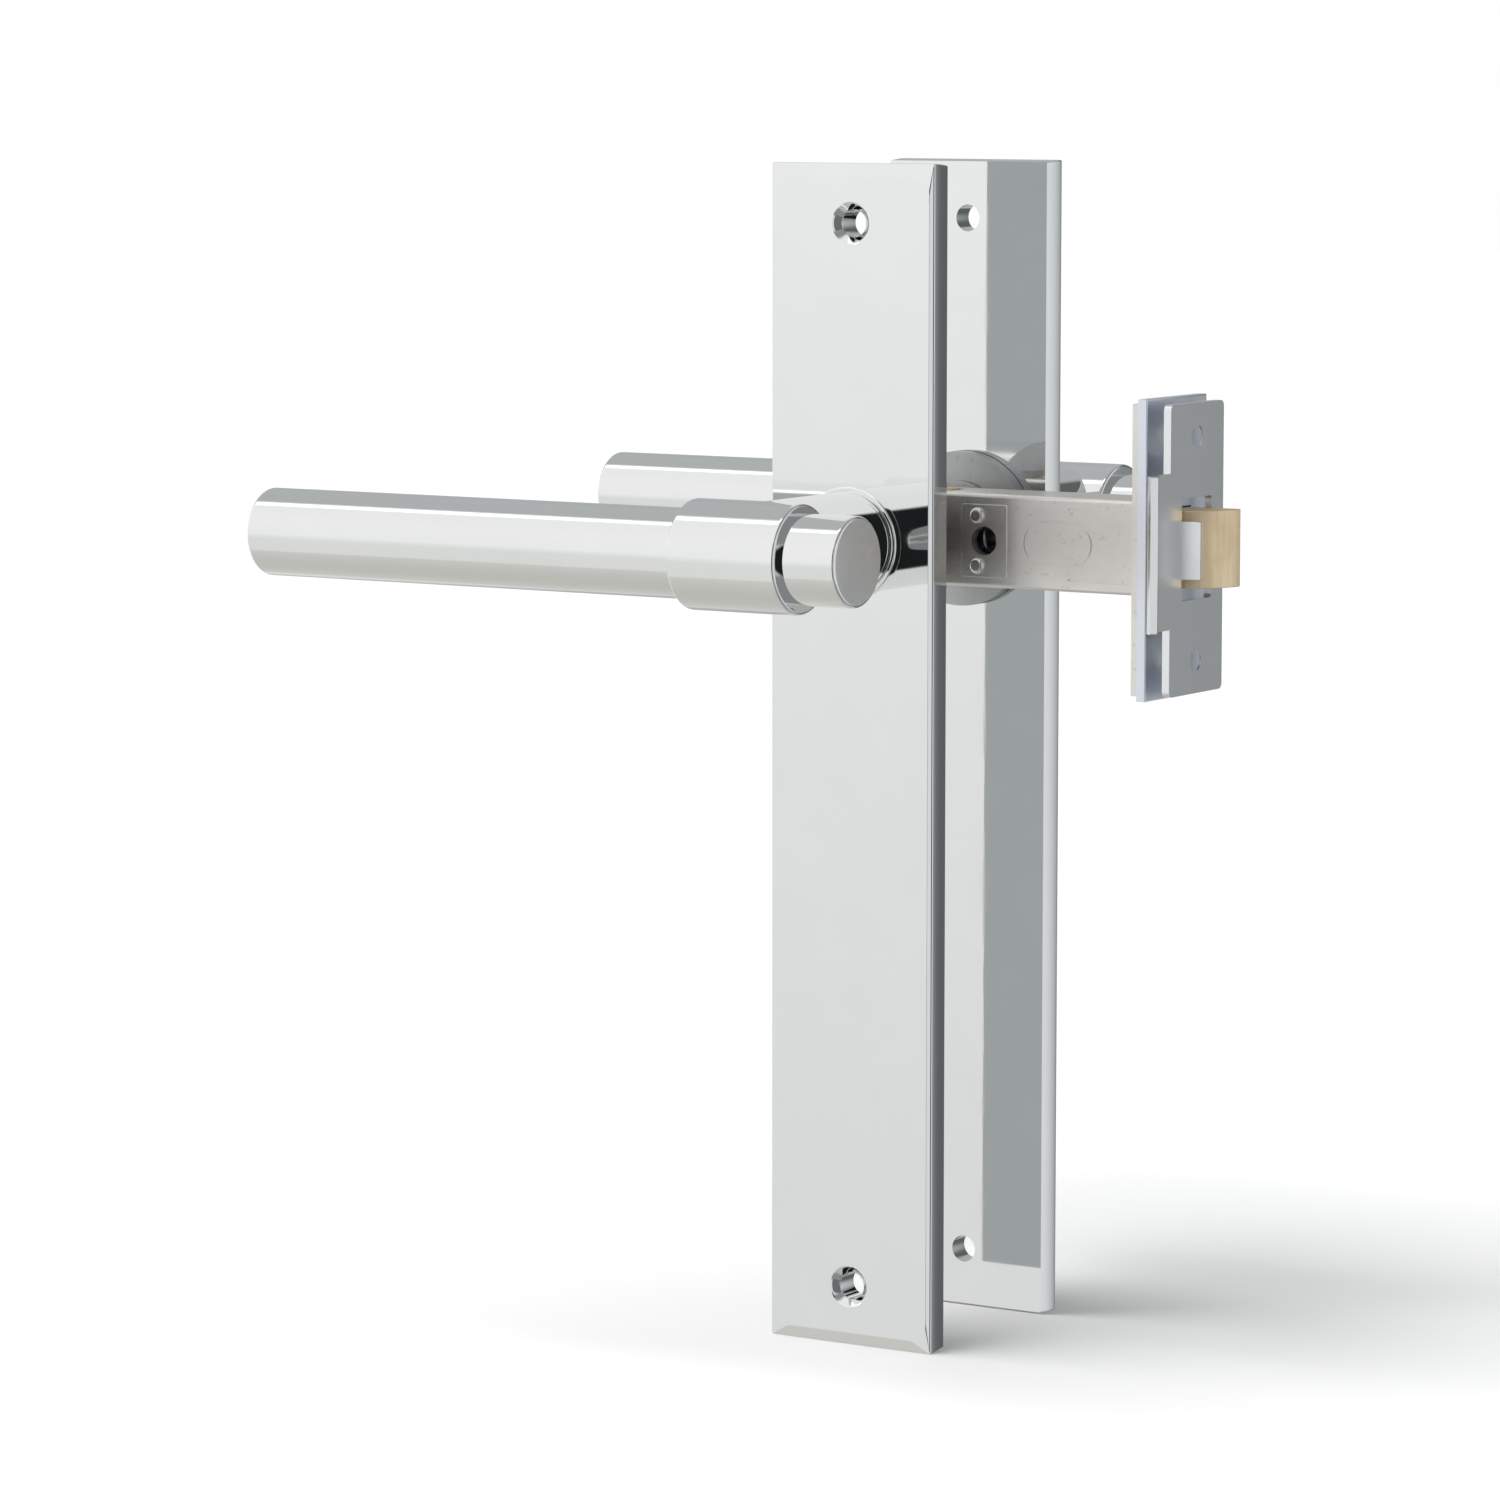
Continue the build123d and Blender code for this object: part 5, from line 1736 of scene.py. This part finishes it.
@dataclass
class Studio:
    """The pale floor, the soft light all round and the camera."""

    floor_level: float
    floor_half: float = 6.0
    floor_tint: Colour = (0.86, 0.86, 0.855)
    key_strength: float = 2.25
    key_softness: float = 34.0
    backdrop: float = 1.0
    lens: float = 144.0
    key_heading: Point = (0.30, 0.34, -1.0)
    eye: Point = (0.6257, -1.0528, 0.0992)
    target: Point = (-0.0405, 0.0, -0.047)

    def build(self) -> None:
        """Make the floor, the lights and the camera."""
        self.floor()
        self.surroundings()
        self.key_light()
        self.camera()
        scene = bpy.context.scene
        scene.view_settings.view_transform = "Standard"
        scene.view_settings.look = "None"
        log.info("studio: floor at %.3f m, lens %.0f mm", self.floor_level, self.lens)

    def floor(self) -> None:
        """Make the pale floor, which polished metal doesn't mirror."""
        shape = bmesh.new()
        bmesh.ops.create_grid(shape, x_segments=8, y_segments=8, size=self.floor_half)
        bmesh.ops.translate(shape, verts=shape.verts[:], vec=(0.0, 0.0, self.floor_level))
        mesh = bpy.data.meshes.new("studio_floor")
        shape.to_mesh(mesh)
        shape.free()
        material = bpy.data.materials.new("floor_paper")
        material.use_nodes = True
        shader = Shader(material.node_tree)
        cloud = shader.noise(shader.place(), 1.5, 2.0)
        darker = tuple(channel * 0.985 for channel in self.floor_tint)
        tint = shader.blend(cloud, self.floor_tint, darker)
        shader.surface({"Base Color": tint, "Roughness": 0.9})
        mesh.materials.append(material)
        floor = bpy.data.objects.new("studio_floor", mesh)
        bpy.context.scene.collection.objects.link(floor)
        floor.visible_glossy = False
        floor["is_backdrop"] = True

    def surroundings(self) -> None:
        """Make the light all round: pale walls, a grey floor and a few dark screens."""
        world = bpy.data.worlds.new("studio")
        bpy.context.scene.world = world
        world.use_nodes = True
        shader = Shader(world.node_tree)
        direction = shader.node("ShaderNodeTexCoord")["Generated"]
        split = shader.node("ShaderNodeSeparateXYZ", {}, {0: direction})
        ahead, up = split["Y"], split["Z"]
        walls = shader.node("ShaderNodeValToRGB", {"stops": WALLS}, {0: up * 0.5 + 0.5})[0]
        high = shader.soften(up, 0.06, 0.22)
        behind = shader.soften(ahead, -0.045, 0.03) * high
        room = shader.blend(behind, walls, BEHIND)
        strip = shader.soften(ahead, -0.20, -0.15)
        strip = strip * (1.0 - shader.soften(ahead, -0.06, -0.045)) * high
        room = shader.blend(strip, room, STRIP)
        right = shader.soften(split["X"], 0.10, 0.42)
        room = shader.blend(right, room, RIGHT)
        corners = right * shader.soften(up * up, 0.16, 0.36)
        room = shader.blend(corners, room, RIGHT_CORNERS)
        flat = shader.node("ShaderNodeCombineXYZ", {}, {0: split["X"], 1: ahead})[0]
        heading = shader.node("ShaderNodeVectorMath", {"operation": "NORMALIZE"}, {0: flat})[0]
        low = (1.0 - shader.soften(up, 0.50, 0.56)) * shader.soften(up, -0.60, -0.56)
        for screen in SCREENS:
            ends = {0: heading, 1: screen.towards()}
            match = shader.node("ShaderNodeVectorMath", {"operation": "DOT_PRODUCT"}, ends)
            faded, full = (math.cos(math.radians(a)) for a in (screen.outer, screen.inner))
            edge = shader.soften(match["Value"], faded, full)
            room = shader.blend(edge * low, room, screen.tint)
        seen = shader.node("ShaderNodeLightPath")["Is Camera Ray"]
        colour = shader.blend(seen, room, (self.backdrop,) * 3)
        made = shader.node("ShaderNodeBackground", {}, {"Color": colour, "Strength": 1.0})
        shader.node("ShaderNodeOutputWorld", {}, {"Surface": made[0]})

    def key_light(self) -> None:
        """Make the broad, soft key light from above."""
        light = bpy.data.lights.new("key", "SUN")
        light.energy = self.key_strength
        light.angle = math.radians(self.key_softness)
        made = bpy.data.objects.new("key", light)
        bpy.context.scene.collection.objects.link(made)
        made.rotation_mode = "QUATERNION"
        made.rotation_quaternion = Vector(self.key_heading).to_track_quat("-Z", "Y")
        made.visible_glossy = False

    def camera(self) -> None:
        """Make the camera."""
        data = bpy.data.cameras.new("view")
        data.lens = self.lens
        data.clip_start = 0.05
        made = bpy.data.objects.new("view", data)
        bpy.context.scene.collection.objects.link(made)
        made.location = self.eye
        made.rotation_mode = "QUATERNION"
        towards = Vector(self.target) - Vector(self.eye)
        made.rotation_quaternion = towards.to_track_quat("-Z", "Y")
        bpy.context.scene.camera = made


def main() -> None:
    """Build every piece on the loaded frame, then the studio."""
    logging.basicConfig(level=logging.INFO, format="%(name)s: %(message)s")
    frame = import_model()
    frame["joints_by_name"] = {joint["name"]: joint for joint in frame["joints"]}
    cad_box = [list(corner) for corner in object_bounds()]
    for side in Side:
        Backplate(side).build()
        Lever(side).build()
        Cassette(side).build(frame)
    TubularLatch().build(frame)
    Strike().build()
    Studio(floor_level=cad_box[0][2]).build()


if __name__ == "__main__":
    main()
